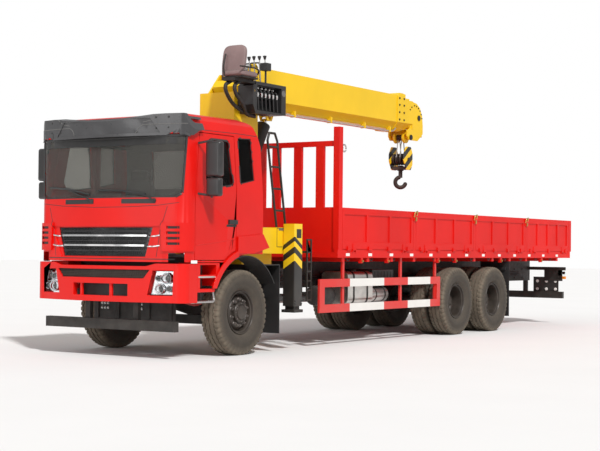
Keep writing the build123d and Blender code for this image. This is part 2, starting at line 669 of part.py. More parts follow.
visor_ends = [
    (-CAB_HALF_W - 22, VISOR_Z0),
    (CAB_HALF_W + 22, VISOR_Z0),
    (CAB_HALF_W + 22, VISOR_Z0 + 70),
    (CAB_HALF_W - 60, VISOR_Z1),
    (-CAB_HALF_W + 60, VISOR_Z1),
    (-CAB_HALF_W - 22, VISOR_Z0 + 70),
]
visor_side = [
    (VISOR_REAR_X, DOOR_TOP + 20),
    (VISOR_REAR_X + 90, DOOR_TOP + 12),
    (5700, VISOR_Z0),
    (FACE_X1, VISOR_Z0),
    (FACE_X1, VISOR_Z0 + 60),
    (5910, VISOR_Z1 - 30),
    (5860, VISOR_Z1),
    (VISOR_REAR_X, VISOR_Z1),
]
visor_form = front_outline(visor_ends, VISOR_REAR_X, FACE_X1) & side_outline(visor_side, -SIDE_OUT_Y, SIDE_OUT_Y)
visor = (visor_plan(0) - visor_plan(35)) & visor_form
visor += visor_plan(2) & block(VISOR_REAR_X, 5880, -CAB_HALF_W, CAB_HALF_W, VISOR_Z1 - 60, VISOR_Z1 - 30) & visor_form
visor_panel = [(-840, VISOR_Z0 + 35), (840, VISOR_Z0 + 35), (700, VISOR_Z1 - 50), (-700, VISOR_Z1 - 50)]
visor -= front_outline(visor_panel, FACE_X0, FACE_X1) & (visor_plan(-20) - visor_plan(10))
save("sun_visor", visor - outer)

# Steps below the doors
STEP_Z0, STEP_Z1 = 817.0, 1172.0
step = block(5130, BUMPER_REAR_X - 3, 900, CAB_HALF_W, STEP_Z0, STEP_Z1)
step -= arches
for recess_z, recess_h in ((40, 130), (210, 120)):
    step -= block(5200, 5520, 960, 1300, STEP_Z0 + recess_z, STEP_Z0 + recess_z + recess_h)
step += block(5480, 5560, RAIL_Y, 910, 880, 960)
save("cab_steps", both(step))

# Fenders: red bands round the front arches, drawn back to a tip behind the wheel
fender = rod_y(FRONT_AXLE_X, TYRE_R, ARCH_R + FENDER_BAND - 6, CAB_HALF_W + 0.3, CAB_HALF_W + 25)
fender = fender & block(DOOR_REAR_X - 30, 5400, CAB_HALF_W - 100, SIDE_OUT_Y, 860, 1500)
fender += side_outline(
    [(DOOR_REAR_X - 12, 1288), (DOOR_REAR_X - 12, 1500), (4231, 1540), (4091, 1365), (4450, 1288)],
    CAB_HALF_W + 0.3,
    CAB_HALF_W + 25,
)
fender -= rod_y(FRONT_AXLE_X, TYRE_R, ARCH_R, 1000, SIDE_OUT_Y)
save("front_fenders", both(fender))

# Mudguards: inner arches with an upright flap behind the front wheels, and flaps behind the rear ones
GUARD_IN_Y, GUARD_OUT_Y = 880.0, 1190.0
FLAP_X = FRONT_AXLE_X - 750
LINER_R = ARCH_R - 12
guard = rod_y(FRONT_AXLE_X, TYRE_R, LINER_R, GUARD_IN_Y, GUARD_OUT_Y)
guard -= rod_y(FRONT_AXLE_X, TYRE_R, LINER_R - 12, GUARD_IN_Y - 10, GUARD_OUT_Y + 10)
guard = guard & block(FRONT_AXLE_X - LINER_R, 5400, GUARD_IN_Y - 80, GUARD_OUT_Y + 60, 900, 1400)
guard += block(FLAP_X, FLAP_X + 12, GUARD_IN_Y, GUARD_OUT_Y, 246, 1150)
guard += block(FLAP_X, FRONT_AXLE_X - 395, GUARD_IN_Y, GUARD_OUT_Y, 1138, 1150)
guard += block(4070, 4100, RAIL_Y, GUARD_IN_Y + 20, 1060, 1145)
rear_flap_x = REAR_AXLE_X - REAR_AXLE_GAP - TYRE_R - 90
rear_flap = block(rear_flap_x - 8, rear_flap_x, 660, 1210, 230, SUBFRAME_TOP)
rear_flap += block(rear_flap_x - 1, rear_flap_x + 30, RAIL_Y, 1150, 1030, 1070)
save("mudguards", both(guard) + both(rear_flap))

# Seats, dashboard and steering wheel
FLOOR_TOP = CAB_FLOOR + CAB_FLOOR_T
interior = []
for seat_y in (620, -620):
    seat = block(4560, 5040, seat_y - 240, seat_y + 240, FLOOR_TOP + 300, FLOOR_TOP + 430)
    seat += block(4440, 4570, seat_y - 230, seat_y + 230, FLOOR_TOP + 300, FLOOR_TOP + 1060)
    seat += block(4600, 4980, seat_y - 180, seat_y + 180, FLOOR_TOP, FLOOR_TOP + 300)
    interior.append(seat)
save("cab_seats", interior)
dash_outline = [
    (5560, FLOOR_TOP),
    (5560, 1750),
    (5400, 1800),
    (5380, 1900),
    (5740, 1930),
    (5740, FLOOR_TOP + 200),
    (5640, FLOOR_TOP),
]
dash = side_outline(dash_outline, -1080, 1080) & cab_form(CAB_WALL + 1)
wheel_centre = (5260, 620, 1890)
steering_wheel = Pos(*wheel_centre) * Rot(0, 60, 0) * Torus(210, 16)
column = rod_between((5450, 620, 1780), wheel_centre, 30)
spoke = Pos(*wheel_centre) * Rot(0, 60, 0) * Box(40, 420, 20)
save("cab_dashboard", dash + column + spoke + steering_wheel)

# Mirrors: a tall and a wide-angle housing on arms from each door's window frame
MIRROR_X, MIRROR_OUT_Y = 5500.0, 1500.0
MIRROR_W, MIRROR_T = 230.0, 110.0
ARM_R = 14.0
mirror_y = MIRROR_OUT_Y - MIRROR_W / 2


def mirror_housing(width, thickness, z0, z1):
    form = block(MIRROR_X - thickness / 2, MIRROR_X + thickness / 2, mirror_y - width / 2, mirror_y + width / 2, z0, z1)
    form = fillet(form.edges().filter_by(Axis.Z), thickness * 0.38)
    return fillet(form.faces().sort_by(Axis.Z)[0].edges() + form.faces().sort_by(Axis.Z)[-1].edges(), thickness * 0.3)


door_mirror = joined(
    [
        mirror_housing(MIRROR_W, MIRROR_T, 2214, 2640),
        mirror_housing(MIRROR_W - 20, MIRROR_T - 10, 1976, 2200),
        rod_z(MIRROR_X, mirror_y - 40, ARM_R, 1960, 2665),
        rod_between((5560, CAB_HALF_W - 20, 2620), (MIRROR_X, mirror_y - 40, 2655), ARM_R),
        rod_between((5580, CAB_HALF_W - 10, 2010), (MIRROR_X, mirror_y - 40, 1985), ARM_R),
    ]
)
door_mirror -= outer
save("mirror_left", door_mirror)
save("mirror_right", other_side(door_mirror))

# Fuel tank, air tank, reservoir and battery box
tank = block(1068, 1770, 540, 1000, 568, 1035)
tank = fillet(tank.edges().filter_by(Axis.X), 90)
for strap_x in (1230, 1610):
    tank += block(strap_x - 22, strap_x + 22, RAIL_Y, 545, 700, 1000)
air_tank = rod_x(880, 690, 110, 560, 1060)
reservoir = rod_x(780, 700, 140, 1950, 2380)
battery = block(420, 1050, 500, 980, 830, 1060)
carry_air = block(760, 860, RAIL_Y, 880, 690, 730) + block(760, 860, RAIL_Y, RAIL_Y + 12, 690, 1000)
carry_reservoir = block(2120, 2220, RAIL_Y, 780, 700, 740) + block(2120, 2220, RAIL_Y, RAIL_Y + 12, 700, 1000)
carry_battery = block(700, 780, RAIL_Y, 505, 850, 1000)
right_tank = block(1300, 2300, 540, 1000, 568, 1035)
right_tank = fillet(right_tank.edges().filter_by(Axis.X), 90)
for strap_x in (1522, 2082):
    right_tank += block(strap_x - 22, strap_x + 22, RAIL_Y, 545, 700, 1000)
tanks = [tank, air_tank + carry_air, reservoir + carry_reservoir, battery + carry_battery]
save("tanks", tanks + [other_side(right_tank)])

# Side guards
GUARD_X0, GUARD_X1 = -690.0, 2844.0
GUARD_Z0, GUARD_Z1 = 480.0, 943.0
GUARD_BAR = 112.0
GUARD_Y = 1200.0
guard_rails = [
    block(GUARD_X0, GUARD_X1, GUARD_Y - 30, GUARD_Y, GUARD_Z0, GUARD_Z0 + GUARD_BAR),
    block(GUARD_X0, GUARD_X1, GUARD_Y - 30, GUARD_Y, GUARD_Z1 - GUARD_BAR, GUARD_Z1),
    block(GUARD_X1 - 130, GUARD_X1, GUARD_Y - 30, GUARD_Y, GUARD_Z0, GUARD_Z1),
    block(GUARD_X0, GUARD_X0 + 110, GUARD_Y - 30, GUARD_Y, GUARD_Z0, GUARD_Z1),
]
for post_x in (2180, 525, -582):
    guard_rails.append(block(post_x - 25, post_x + 25, GUARD_Y - 60, GUARD_Y - 30, GUARD_Z0, BED_BOTTOM))
side_guard = joined(guard_rails)
save("side_guards", both(side_guard))

# Bed: floor on cross members, side rails and the fixed posts between the drop sides
POST_XS = [195.0, -1860.0, -3905.0]
REAR_POST_W = 90.0
HEAD_T = 50.0
HEAD_REAR_X = FRONT_POST_X - HEAD_T / 2
FLOOR_LOW = BED_FLOOR - BED_FLOOR_T
RAIL_IN_Y = BED_HALF_W - 60
LIP_T = 8.0
LIP_H = 20.0
deck_parts = [
    block(BED_REAR_X, HEAD_REAR_X, -BED_HALF_W + 10, BED_HALF_W - 10, FLOOR_LOW, BED_FLOOR),
    block(HEAD_REAR_X - 10, BED_FRONT_X, -BED_HALF_W + 10, BED_HALF_W - 10, BED_BOTTOM, FLOOR_LOW),
    block(BED_REAR_X, BED_REAR_X + LIP_T, -RAIL_IN_Y - LIP_T, RAIL_IN_Y + LIP_T, BED_FLOOR - 5, BED_RAIL_TOP + LIP_H),
]
side_rail = block(BED_REAR_X, BED_FRONT_X, RAIL_IN_Y, BED_HALF_W, BED_BOTTOM, BED_RAIL_TOP)
side_rail -= block(BED_REAR_X - 10, BED_FRONT_X + 10, RAIL_IN_Y - 10, BED_HALF_W - 8, BED_BOTTOM + 8, FLOOR_LOW)
lip_end_x = FRONT_POST_X - FRONT_POST_W / 2
side_rail += block(BED_REAR_X, lip_end_x, RAIL_IN_Y, RAIL_IN_Y + LIP_T, BED_RAIL_TOP - 5, BED_RAIL_TOP + LIP_H)
deck_parts += both(side_rail)
CROSS_PITCH = 690.0
for number in range(12):
    cross_x = BED_FRONT_X - 180 - number * CROSS_PITCH
    deck_parts.append(block(cross_x - 35, cross_x + 35, -BED_HALF_W + 20, BED_HALF_W - 20, SUBFRAME_TOP, FLOOR_LOW))
for post_x, width in [(x, POST_W) for x in POST_XS] + [(BED_REAR_X + REAR_POST_W / 2, REAR_POST_W)]:
    post_x0, post_x1 = post_x - width / 2, post_x + width / 2
    deck_parts += both(block(post_x0, post_x1, RAIL_IN_Y, BED_HALF_W, BED_BOTTOM, BED_SIDE_TOP))

# Headboard: posts, top rail, upright bars and a solid lower panel
HEAD_POST_Y0, HEAD_POST_Y1 = BED_HALF_W - 95, BED_HALF_W
POST_X0, POST_X1 = FRONT_POST_X - FRONT_POST_W / 2, FRONT_POST_X + FRONT_POST_W / 2
HEAD_FRONT_X = HEAD_REAR_X + HEAD_T
HEAD_REACH = HEAD_POST_Y0 + 5
head_parts = both(block(POST_X0, POST_X1, HEAD_POST_Y0, HEAD_POST_Y1, BED_RAIL_TOP, HEAD_POST_TOP))
head_parts.append(block(HEAD_REAR_X, HEAD_FRONT_X, -HEAD_REACH, HEAD_REACH, HEAD_TOP - 75, HEAD_TOP))
head_parts.append(block(HEAD_REAR_X, HEAD_FRONT_X, -HEAD_REACH, HEAD_REACH, FLOOR_LOW, BED_SIDE_TOP + 4))
HEAD_BAR_W = 135.0
HEAD_BAR_T = 44.0
for bar_y in (130, 505, 880):
    bar_y0, bar_y1 = bar_y - HEAD_BAR_W / 2, bar_y + HEAD_BAR_W / 2
    bar_x0, bar_x1 = FRONT_POST_X - HEAD_BAR_T / 2, FRONT_POST_X + HEAD_BAR_T / 2
    head_parts += both(block(bar_x0, bar_x1, bar_y0, bar_y1, BED_SIDE_TOP, HEAD_TOP - 70))
save("headboard", joined(head_parts))

# Drop sides: four panels a side between the posts, and the tailgate
panel_ends = [POST_X0]
for post_x in POST_XS:
    panel_ends += [post_x + POST_W / 2, post_x - POST_W / 2]
panel_ends.append(BED_REAR_X + REAR_POST_W)
RIB_W = 60.0
BAY_Z0, BAY_Z1 = 1462.0, 1850.0
HINGE_L = 60.0
HINGE_LUG = 16.0


def hinge_strap(middle, face):
    """The moving leaf of one hinge on the left side: a ring on the pin and a strap up the panel."""
    x0, x1 = middle - HINGE_L / 2, middle + HINGE_L / 2
    ring = rod_x(face + HINGE_OUT, BED_RAIL_TOP, HINGE_R, x0, x1)
    strap = block(x0, x1, face, face + 6, BED_RAIL_TOP + OPEN_GAP, BED_RAIL_TOP + 90)
    web = block(x0, x1, face, face + HINGE_OUT, BED_RAIL_TOP + OPEN_GAP, BED_RAIL_TOP + 11)
    bore = rod_x(face + HINGE_OUT, BED_RAIL_TOP, HINGE_PIN_R + TURN_GAP, middle - HINGE_L, middle + HINGE_L)
    return ring + strap + web - bore


def hinge_pin(middle, face):
    """The fixed half of the same hinge: two lugs on the bed's rail with the pin between them."""
    reach = HINGE_L / 2 + 1
    pin = rod_x(face + HINGE_OUT, BED_RAIL_TOP, HINGE_PIN_R, middle - reach - 5, middle + reach + 5)
    for x0 in (middle - reach - HINGE_LUG, middle + reach):
        pin += block(x0, x0 + HINGE_LUG, face - 1, face + HINGE_OUT + 8, BED_RAIL_TOP - 34, BED_RAIL_TOP - 1)
        pin += rod_x(face + HINGE_OUT, BED_RAIL_TOP, HINGE_R - 2, x0, x0 + HINGE_LUG)
    return pin


side_panels = []
for number in range(4):
    x1 = panel_ends[2 * number] - OPEN_GAP
    x0 = panel_ends[2 * number + 1] + OPEN_GAP
    panel = block(x0, x1, BED_HALF_W - SIDE_T, BED_HALF_W, BED_RAIL_TOP + OPEN_GAP, BED_SIDE_TOP)
    rib_count = 3 if number < 3 else 4
    bay = (x1 - x0 - RIB_W) / rib_count
    for rib in range(rib_count):
        bay_x0 = x0 + RIB_W + rib * bay
        panel -= block(bay_x0, bay_x0 + bay - RIB_W, BED_HALF_W - 16, BED_HALF_W + 5, BAY_Z0, BAY_Z1)
    panel -= block(x0 - 5, x1 + 5, BED_HALF_W - SIDE_T - 5, BED_HALF_W - SIDE_T + 10, 1400, 1900)
    for middle in (x0 + 300, x1 - 300):
        panel += hinge_strap(middle, BED_HALF_W)
        deck_parts += both(hinge_pin(middle, BED_HALF_W))
    side_panels.append(panel)
save("sides_left", side_panels)
save("sides_right", [other_side(panel) for panel in side_panels])
tailgate = block(GATE_FACE_X, GATE_FACE_X + GATE_T, -BED_HALF_W, BED_HALF_W, BED_RAIL_TOP + OPEN_GAP, BED_SIDE_TOP)
GATE_BAYS = 6
gate_bay = (2 * BED_HALF_W - RIB_W) / GATE_BAYS
for number in range(GATE_BAYS):
    bay_y = -BED_HALF_W + RIB_W + number * gate_bay
    tailgate -= block(GATE_FACE_X - 5, GATE_FACE_X + 14, bay_y, bay_y + gate_bay - RIB_W, BAY_Z0, BAY_Z1)
for middle in (-820, 0, 820):
    tailgate += Rot(0, 0, 90) * hinge_strap(middle, -GATE_FACE_X)
    deck_parts.append(Rot(0, 0, 90) * hinge_pin(middle, -GATE_FACE_X))
    seat_z0, seat_z1 = BED_RAIL_TOP - 34, BED_RAIL_TOP - 8
    deck_parts.append(block(GATE_FACE_X - 2, BED_REAR_X + 2, middle - 60, middle + 60, seat_z0, seat_z1))
save("tailgate", tailgate)
save("bed_deck", joined(deck_parts))

# Crane base: a cross box on the frame, with channels for the two outrigger beams
base = block(BASE_REAR_X, BASE_FRONT_X - 360, -RAIL_Y - 60, RAIL_Y + 60, RAIL_TOP, BASE_TOP)
base += block(BASE_REAR_X, TOOLBOX_X, -BASE_HALF_W, BASE_HALF_W, BASE_BOTTOM, BASE_TOP)
base += block(TOOLBOX_X, BASE_FRONT_X, -BASE_HALF_W, BASE_HALF_W, BASE_BOTTOM, BASE_TOP - 10)
toolbox_y = BASE_HALF_W - 15
base -= block(TOOLBOX_X + 40, BASE_FRONT_X - 30, -toolbox_y, toolbox_y, BASE_BOTTOM + 15, BASE_TOP - 60)
base += block(BASE_FRONT_X - 5, BASE_FRONT_X + 120, -BASE_HALF_W, BASE_HALF_W, BASE_BOTTOM, BASE_BOTTOM + 14)
BEAM_Z = 1460.0
RIGHT_BEAM_X = BEAM_X - BEAM_PITCH


def beam_channel(x):
    half_w, half_h = BEAM_W / 2 + SLIDE_GAP, BEAM_H / 2 + SLIDE_GAP
    return block(x - half_w, x + half_w, -BASE_HALF_W + 40, BASE_HALF_W + 5, BEAM_Z - half_h, BEAM_Z + half_h)


base -= beam_channel(BEAM_X)
base -= other_side(beam_channel(RIGHT_BEAM_X))
base += rod_z(SLEW_X, 0, 370, BASE_TOP, BASE_TOP + 50)
save("crane_base", base)


def outrigger(x):
    """A beam with its leg tube, for the left side."""
    leg_in_y = LEG_OUT_Y - LEG_W
    half_w, half_h = BEAM_W / 2, BEAM_H / 2
    beam = block(x - half_w, x + half_w, -BASE_HALF_W + 60, leg_in_y + 10, BEAM_Z - half_h, BEAM_Z + half_h)
    hollow_w, hollow_h = half_w - BEAM_WALL, half_h - BEAM_WALL
    hollow_y0 = -BASE_HALF_W + 50
    beam -= block(x - hollow_w, x + hollow_w, hollow_y0, leg_in_y, BEAM_Z - hollow_h, BEAM_Z + hollow_h)
    leg = block(x - LEG_W / 2, x + LEG_W / 2, leg_in_y, LEG_OUT_Y, LEG_BOTTOM, LEG_TOP)
    leg = fillet(leg.edges().filter_by(Axis.Z), 14)
    middle_y = LEG_OUT_Y - LEG_W / 2
    bore = JACK_W / 2 + SLIDE_GAP
    leg -= block(x - bore, x + bore, middle_y - bore, middle_y + bore, LEG_BOTTOM - 5, LEG_TOP - 20)
    reach = JACK_W / 2
    jack = block(x - reach, x + reach, middle_y - reach, middle_y + reach, FOOT_Z + 5, LEG_TOP - 60)
    reach = FOOT_W / 2
    foot = block(x - reach, x + reach, middle_y - reach, middle_y + reach, FOOT_Z, FOOT_Z + FOOT_T)
    return beam + leg, jack + foot


beam, jack = outrigger(BEAM_X)
save("outrigger_left", beam)
save("jack_left", jack)
beam, jack = outrigger(RIGHT_BEAM_X)
save("outrigger_right", other_side(beam))
save("jack_right", other_side(jack))

# Ladders: the operator's steps up to the station, and the steps behind the left leg
ladder_feet = [(3466, 900, BASE_TOP - 4), (3251, 900, BASE_TOP - 4)]
ladder_tops = [(3700, 900, 2800), (3470, 900, 2800)]
LADDER_R = 16.0
ladder = joined([rod_between(foot, top, LADDER_R) for foot, top in zip(ladder_feet, ladder_tops)])
ladder += rod_between(ladder_tops[0], (3660, 900, 2900), LADDER_R)
ladder += rod_between(ladder_tops[1], (3530, 900, 2900), LADDER_R)
ladder += rod_between((3660, 900, 2900), (3530, 900, 2900), LADDER_R)
for top in ladder_tops + [(3660, 900, 2900), (3530, 900, 2900)]:
    ladder += Pos(*top) * Sphere(LADDER_R)
for share in (0.2, 0.45, 0.7, 0.93):
    ends = [tuple(f + (t - f) * share for f, t in zip(foot, top)) for foot, top in zip(ladder_feet, ladder_tops)]
    ladder += rod_between(ends[0], ends[1], LADDER_R - 2)
ladder -= base
side_ladder = joined(
    [
        block(2900, 2920, 1085, 1105, 637, 1492),
        block(3000, 3020, 1085, 1105, 637, 1492),
        block(2900, 3020, 1085, 1105, 1472, 1492),
    ]
)
for rung_z in (650, 780, 910, 1040, 1170, 1300):
    side_ladder += block(2900, 3020, 1085, 1105, rung_z, rung_z + 20)
side_ladder += block(2940, 3020, 960, 1100, 1300, 1330)
side_ladder -= base
save("ladders", [ladder, side_ladder])

# Turret: an open column of two side plates, a front wall and a bottom plate
turret_side = [
    (TURRET_FRONT_X, BASE_TOP + 50 + SLIDE_GAP),
    (TURRET_FRONT_X, 3490),
    (PIVOT_X + 190, 3490),
    (PIVOT_X - 90, 3800),
    (PIVOT_X - 170, 3800),
    (PIVOT_X - 200, 3500),
    (3060, 2700),
    (3040, 1900),
    (3040, BASE_TOP + 50 + SLIDE_GAP),
]
inner_w = TURRET_HALF_W - TURRET_PLATE
turret = joined(both(side_outline(turret_side, inner_w, TURRET_HALF_W)))
turret += block(TURRET_FRONT_X - 24, TURRET_FRONT_X, -inner_w - 5, inner_w + 5, 1800, 3490)
turret += block(3040, TURRET_FRONT_X, -inner_w - 5, inner_w + 5, BASE_TOP + 50 + SLIDE_GAP, BASE_TOP + 110)
turret += rod_y(PIVOT_X, PIVOT_Z, PIVOT_R, -TURRET_HALF_W - 6, TURRET_HALF_W + 6)
turret += rod_y(CYL_BASE_X, CYL_BASE_Z, CYL_PIN_R, -110, 110)
lug = side_outline([(3110, BASE_TOP + 100), (3300, BASE_TOP + 100), (3250, 2010), (3150, 2010)], 78, 102)
turret += joined(both(lug))
save("turret", turret)

# Boom sections: six-sided tubes one inside the other, level at rest
def boom_section(inset):
    return [
        (BOOM_HALF_W - inset, BOOM_TOP - inset),
        (BOOM_HALF_W - inset, BOOM_SIDE_LOW + inset * 0.35),
        (BOOM_UNDER_HALF_W - inset * 0.6, BOOM_BOTTOM + inset),
        (-BOOM_UNDER_HALF_W + inset * 0.6, BOOM_BOTTOM + inset),
        (-BOOM_HALF_W + inset, BOOM_SIDE_LOW + inset * 0.35),
        (-BOOM_HALF_W + inset, BOOM_TOP - inset),
    ]


def boom_tube(inset, x0, x1):
    inner = front_outline(boom_section(inset + BOOM_WALL), x0 - 5, x1 + 5)
    return front_outline(boom_section(inset), x0, x1) - inner


# The boom's root steps down under the winch and rounds off in front of its pivot
root_side = [
    (PIVOT_X - 700, BOOM_TOP + 5),
    (PIVOT_X - 540, BOOM_TOP + 5),
    (PIVOT_X - 440, 3715),
    (PIVOT_X - 60, 3715),
    (PIVOT_X + 60, 3690),
    (PIVOT_X + 125, PIVOT_Z),
    (PIVOT_X + 70, 3500),
    (PIVOT_X - 40, 3440),
    (PIVOT_X - 300, BOOM_BOTTOM - 5),
    (PIVOT_X - 700, BOOM_BOTTOM - 5),
]
ROOT_WALL = 14.0
boom = boom_tube(0, BOOM_BASE_END_X, PIVOT_X + 200)
rest_of_boom = block(BOOM_BASE_END_X - 10, PIVOT_X - 690, -300, 300, BOOM_BOTTOM - 30, BOOM_TOP + 30)
boom = boom & (side_outline(root_side, -300, 300) + rest_of_boom)
root_face = make_face(Polyline(*root_side[1:9], close=True))
root_plane = Plane((0, BOOM_HALF_W, 0), x_dir=(1, 0, 0), z_dir=(0, -1, 0))
root_cover = extrude(root_plane * root_face, 2 * BOOM_HALF_W)
root_cover -= extrude(root_plane * Pos(-ROOT_WALL, 0) * set_in(root_face, ROOT_WALL), 2 * BOOM_HALF_W)
root_cover = root_cover & front_outline(boom_section(0), PIVOT_X - 540, PIVOT_X + 300)
boom += root_cover
boom += rod_y(PIVOT_X, PIVOT_Z, 95, -inner_w + SLIDE_GAP, inner_w - SLIDE_GAP)
boom -= rod_y(PIVOT_X, PIVOT_Z, PIVOT_R + TURN_GAP, -400, 400)
COLLAR_L = 260.0
COLLAR_TOP, COLLAR_BOTTOM = BOOM_TOP + 42, BOOM_BOTTOM - 14
collar_side = [
    (BOOM_BASE_END_X, COLLAR_BOTTOM),
    (BOOM_BASE_END_X, COLLAR_TOP - 12),
    (BOOM_BASE_END_X + 90, COLLAR_TOP),
    (BOOM_BASE_END_X + COLLAR_L - 60, COLLAR_TOP),
    (BOOM_BASE_END_X + COLLAR_L, BOOM_TOP),
    (BOOM_BASE_END_X + COLLAR_L, COLLAR_BOTTOM),
]
collar_section = [(y * 1.06, z) for y, z in boom_section(0)]
for corner in (0, 5):
    collar_section[corner] = (collar_section[corner][0], COLLAR_TOP)
for corner in (2, 3):
    collar_section[corner] = (collar_section[corner][0], COLLAR_BOTTOM)
collar = front_outline(collar_section, BOOM_BASE_END_X, BOOM_BASE_END_X + COLLAR_L)
collar = collar & side_outline(collar_side, -300, 300)
collar -= front_outline(boom_section(BOOM_STEP - SLIDE_GAP), BOOM_BASE_END_X - 5, BOOM_BASE_END_X + COLLAR_L + 5)
boom += collar
eye_outline = [
    (CYL_EYE_X + 130, BOOM_BOTTOM + 2),
    (CYL_EYE_X + 55, CYL_EYE_Z - 50),
    (CYL_EYE_X - 55, CYL_EYE_Z - 50),
    (CYL_EYE_X - 130, BOOM_BOTTOM + 2),
]
eye_lug = side_outline(eye_outline, 45, 65) - rod_y(CYL_EYE_X, CYL_EYE_Z, CYL_PIN_R, 0, 100)
boom += joined(both(eye_lug))
save("boom_base", boom)

MID_REAR_X = 2650.0
MID_END_X = -1400.0
TIP_REAR_X = 2450.0
TIP_END_X = -1560.0


def slide_collar(inset, x0, x1):
    inner = front_outline(boom_section(inset + BOOM_STEP - SLIDE_GAP), x0 - 5, x1 + 5)
    return front_outline(boom_section(inset + 4), x0, x1) - inner


mid = boom_tube(BOOM_STEP, MID_END_X, MID_REAR_X)
mid += slide_collar(BOOM_STEP, MID_END_X, MID_END_X + 150)
save("boom_mid", mid)

# Boom tip: the inner section with its rounded head, the sheaves and a box at its end
tip = boom_tube(2 * BOOM_STEP, TIP_END_X, TIP_REAR_X)
HEAD_HALF_W = 160.0
HEAD_PLATE = 25.0
HEAD_END_X = TIP_END_X - 390
HEAD_LOW = HEAD_PIN_Z - 45
nose_points = [
    (HEAD_END_X, 3480),
    (HEAD_END_X + 25, 3640),
    (HEAD_END_X + 100, 3760),
    (HEAD_END_X + 220, 3830),
    (TIP_END_X - 20, BOOM_TOP - 48),
]
head_side = nose_points + [
    (TIP_END_X + 60, BOOM_TOP - 60),
    (TIP_END_X + 60, BOOM_BOTTOM + 60),
    (MID_END_X - 10, BOOM_BOTTOM + 20),
    (MID_END_X - 10, HEAD_PIN_Z + 20),
    (HEAD_PIN_X + 50, HEAD_LOW),
    (HEAD_PIN_X - 250, HEAD_LOW),
    (HEAD_END_X, 3330),
]
tip += joined(both(side_outline(head_side, HEAD_HALF_W, HEAD_HALF_W + HEAD_PLATE)))
tip += block(TIP_END_X - 20, TIP_END_X + 2, -200, 200, BOOM_BOTTOM + 60, BOOM_TOP - 50)
nose_inside = [(x + 24, z - 20) for x, z in reversed(nose_points)]
tip += side_outline(nose_points + nose_inside, -HEAD_HALF_W - 5, HEAD_HALF_W + 5)
tip += rod_y(HEAD_PIN_X, HEAD_PIN_Z, HEAD_PIN_R, -HEAD_HALF_W - 35, HEAD_HALF_W + 35)
for sheave_y in (-85, 85):
    tip += rod_y(HEAD_PIN_X, HEAD_PIN_Z, SHEAVE_R, sheave_y - 18, sheave_y + 18)
UPPER_SHEAVE_R = 110.0
upper_pin = (HEAD_END_X + 150, 3590)
tip += rod_y(upper_pin[0], upper_pin[1], 25, -HEAD_HALF_W - 30, HEAD_HALF_W + 30)
tip += rod_y(upper_pin[0], upper_pin[1], UPPER_SHEAVE_R, -20, 20)
tip += block(HEAD_END_X - 130, HEAD_END_X + 10, -95, 95, 3290, 3530)
tip += block(HEAD_END_X - 10, HEAD_END_X + 15, -HEAD_HALF_W - 5, HEAD_HALF_W + 5, 3340, 3500)
save("boom_tip", tip)

# Hook block: two cheek plates, the lower sheaves and the rope falls up to the head's pin
BLOCK_HALF_W = 147.0
CHEEK_T = 16.0
BLOCK_PIN_Z = 2880.0
BLOCK_SHEAVE_R = 98.0
EYE_R = 50.0
cheek_outline = [
    (HOOK_X - 95, BLOCK_TOP),
    (HOOK_X + 70, BLOCK_TOP),
    (HOOK_X + 150, 2960),
    (HOOK_X + 150, 2850),
    (HOOK_X + 60, BLOCK_BOTTOM),
    (HOOK_X - 90, BLOCK_BOTTOM),
    (HOOK_X - 150, 2800),
    (HOOK_X - 150, 2980),
]
hook_block = joined(both(side_outline(cheek_outline, BLOCK_HALF_W - CHEEK_T, BLOCK_HALF_W)))
hook_block += rod_y(HOOK_X, BLOCK_PIN_Z, 28, -BLOCK_HALF_W - 12, BLOCK_HALF_W + 12)
SHEAVE_YS = (-105, -35, 35, 105)
for sheave_y in SHEAVE_YS:
    hook_block += rod_y(HOOK_X, BLOCK_PIN_Z, BLOCK_SHEAVE_R, sheave_y - 18, sheave_y + 18)
inner_block = BLOCK_HALF_W - CHEEK_T + 2
hook_block += block(HOOK_X - 65, HOOK_X + 65, -inner_block, inner_block, BLOCK_BOTTOM + 5, BLOCK_BOTTOM + 60)
hook_block -= rod_z(HOOK_X, 0, HOOK_R + TURN_GAP, BLOCK_BOTTOM - 20, BLOCK_BOTTOM + 64)
for fall_y in SHEAVE_YS[1:3]:
    hook_block += block(HOOK_X - 8, HOOK_X + 8, fall_y - 8, fall_y + 8, BLOCK_PIN_Z + 90, HEAD_PIN_Z - 25)
hook_block += rod_y(HEAD_PIN_X, HEAD_PIN_Z, EYE_R, -56, 56)
hook_block -= rod_y(HEAD_PIN_X, HEAD_PIN_Z, HEAD_PIN_R + TURN_GAP, -70, 70)
save("hook_block", hook_block)

# Hook: a shank, a nut above the crosshead and the round bowl, open to the rear
HOOK_TURN = -56.0
BOWL_R = 86.0
BOWL_Z = HOOK_BOTTOM + BOWL_R + HOOK_R
hook = rod_z(HOOK_X, 0, HOOK_R, BOWL_Z + BOWL_R - 10, BLOCK_BOTTOM + 70)
hook += rod_z(HOOK_X, 0, 50, BLOCK_BOTTOM + 60 + SLIDE_GAP, BLOCK_BOTTOM + 76)
bowl_path = CenterArc((0, 0), BOWL_R, 90, 250)
bowl = sweep(Plane(bowl_path @ 0, z_dir=bowl_path % 0) * Circle(HOOK_R), bowl_path)
hook_tip = bowl_path @ 1
hook += Pos(HOOK_X, 0, BOWL_Z) * Rot(90, 0, 0) * mirror(bowl, Plane.YZ)
hook += Pos(HOOK_X - hook_tip.X, 0, BOWL_Z + hook_tip.Y) * Sphere(HOOK_R)
hook = Pos(HOOK_X, 0, 0) * Rot(0, 0, HOOK_TURN) * Pos(-HOOK_X, 0, 0) * hook
save("hook", hook)

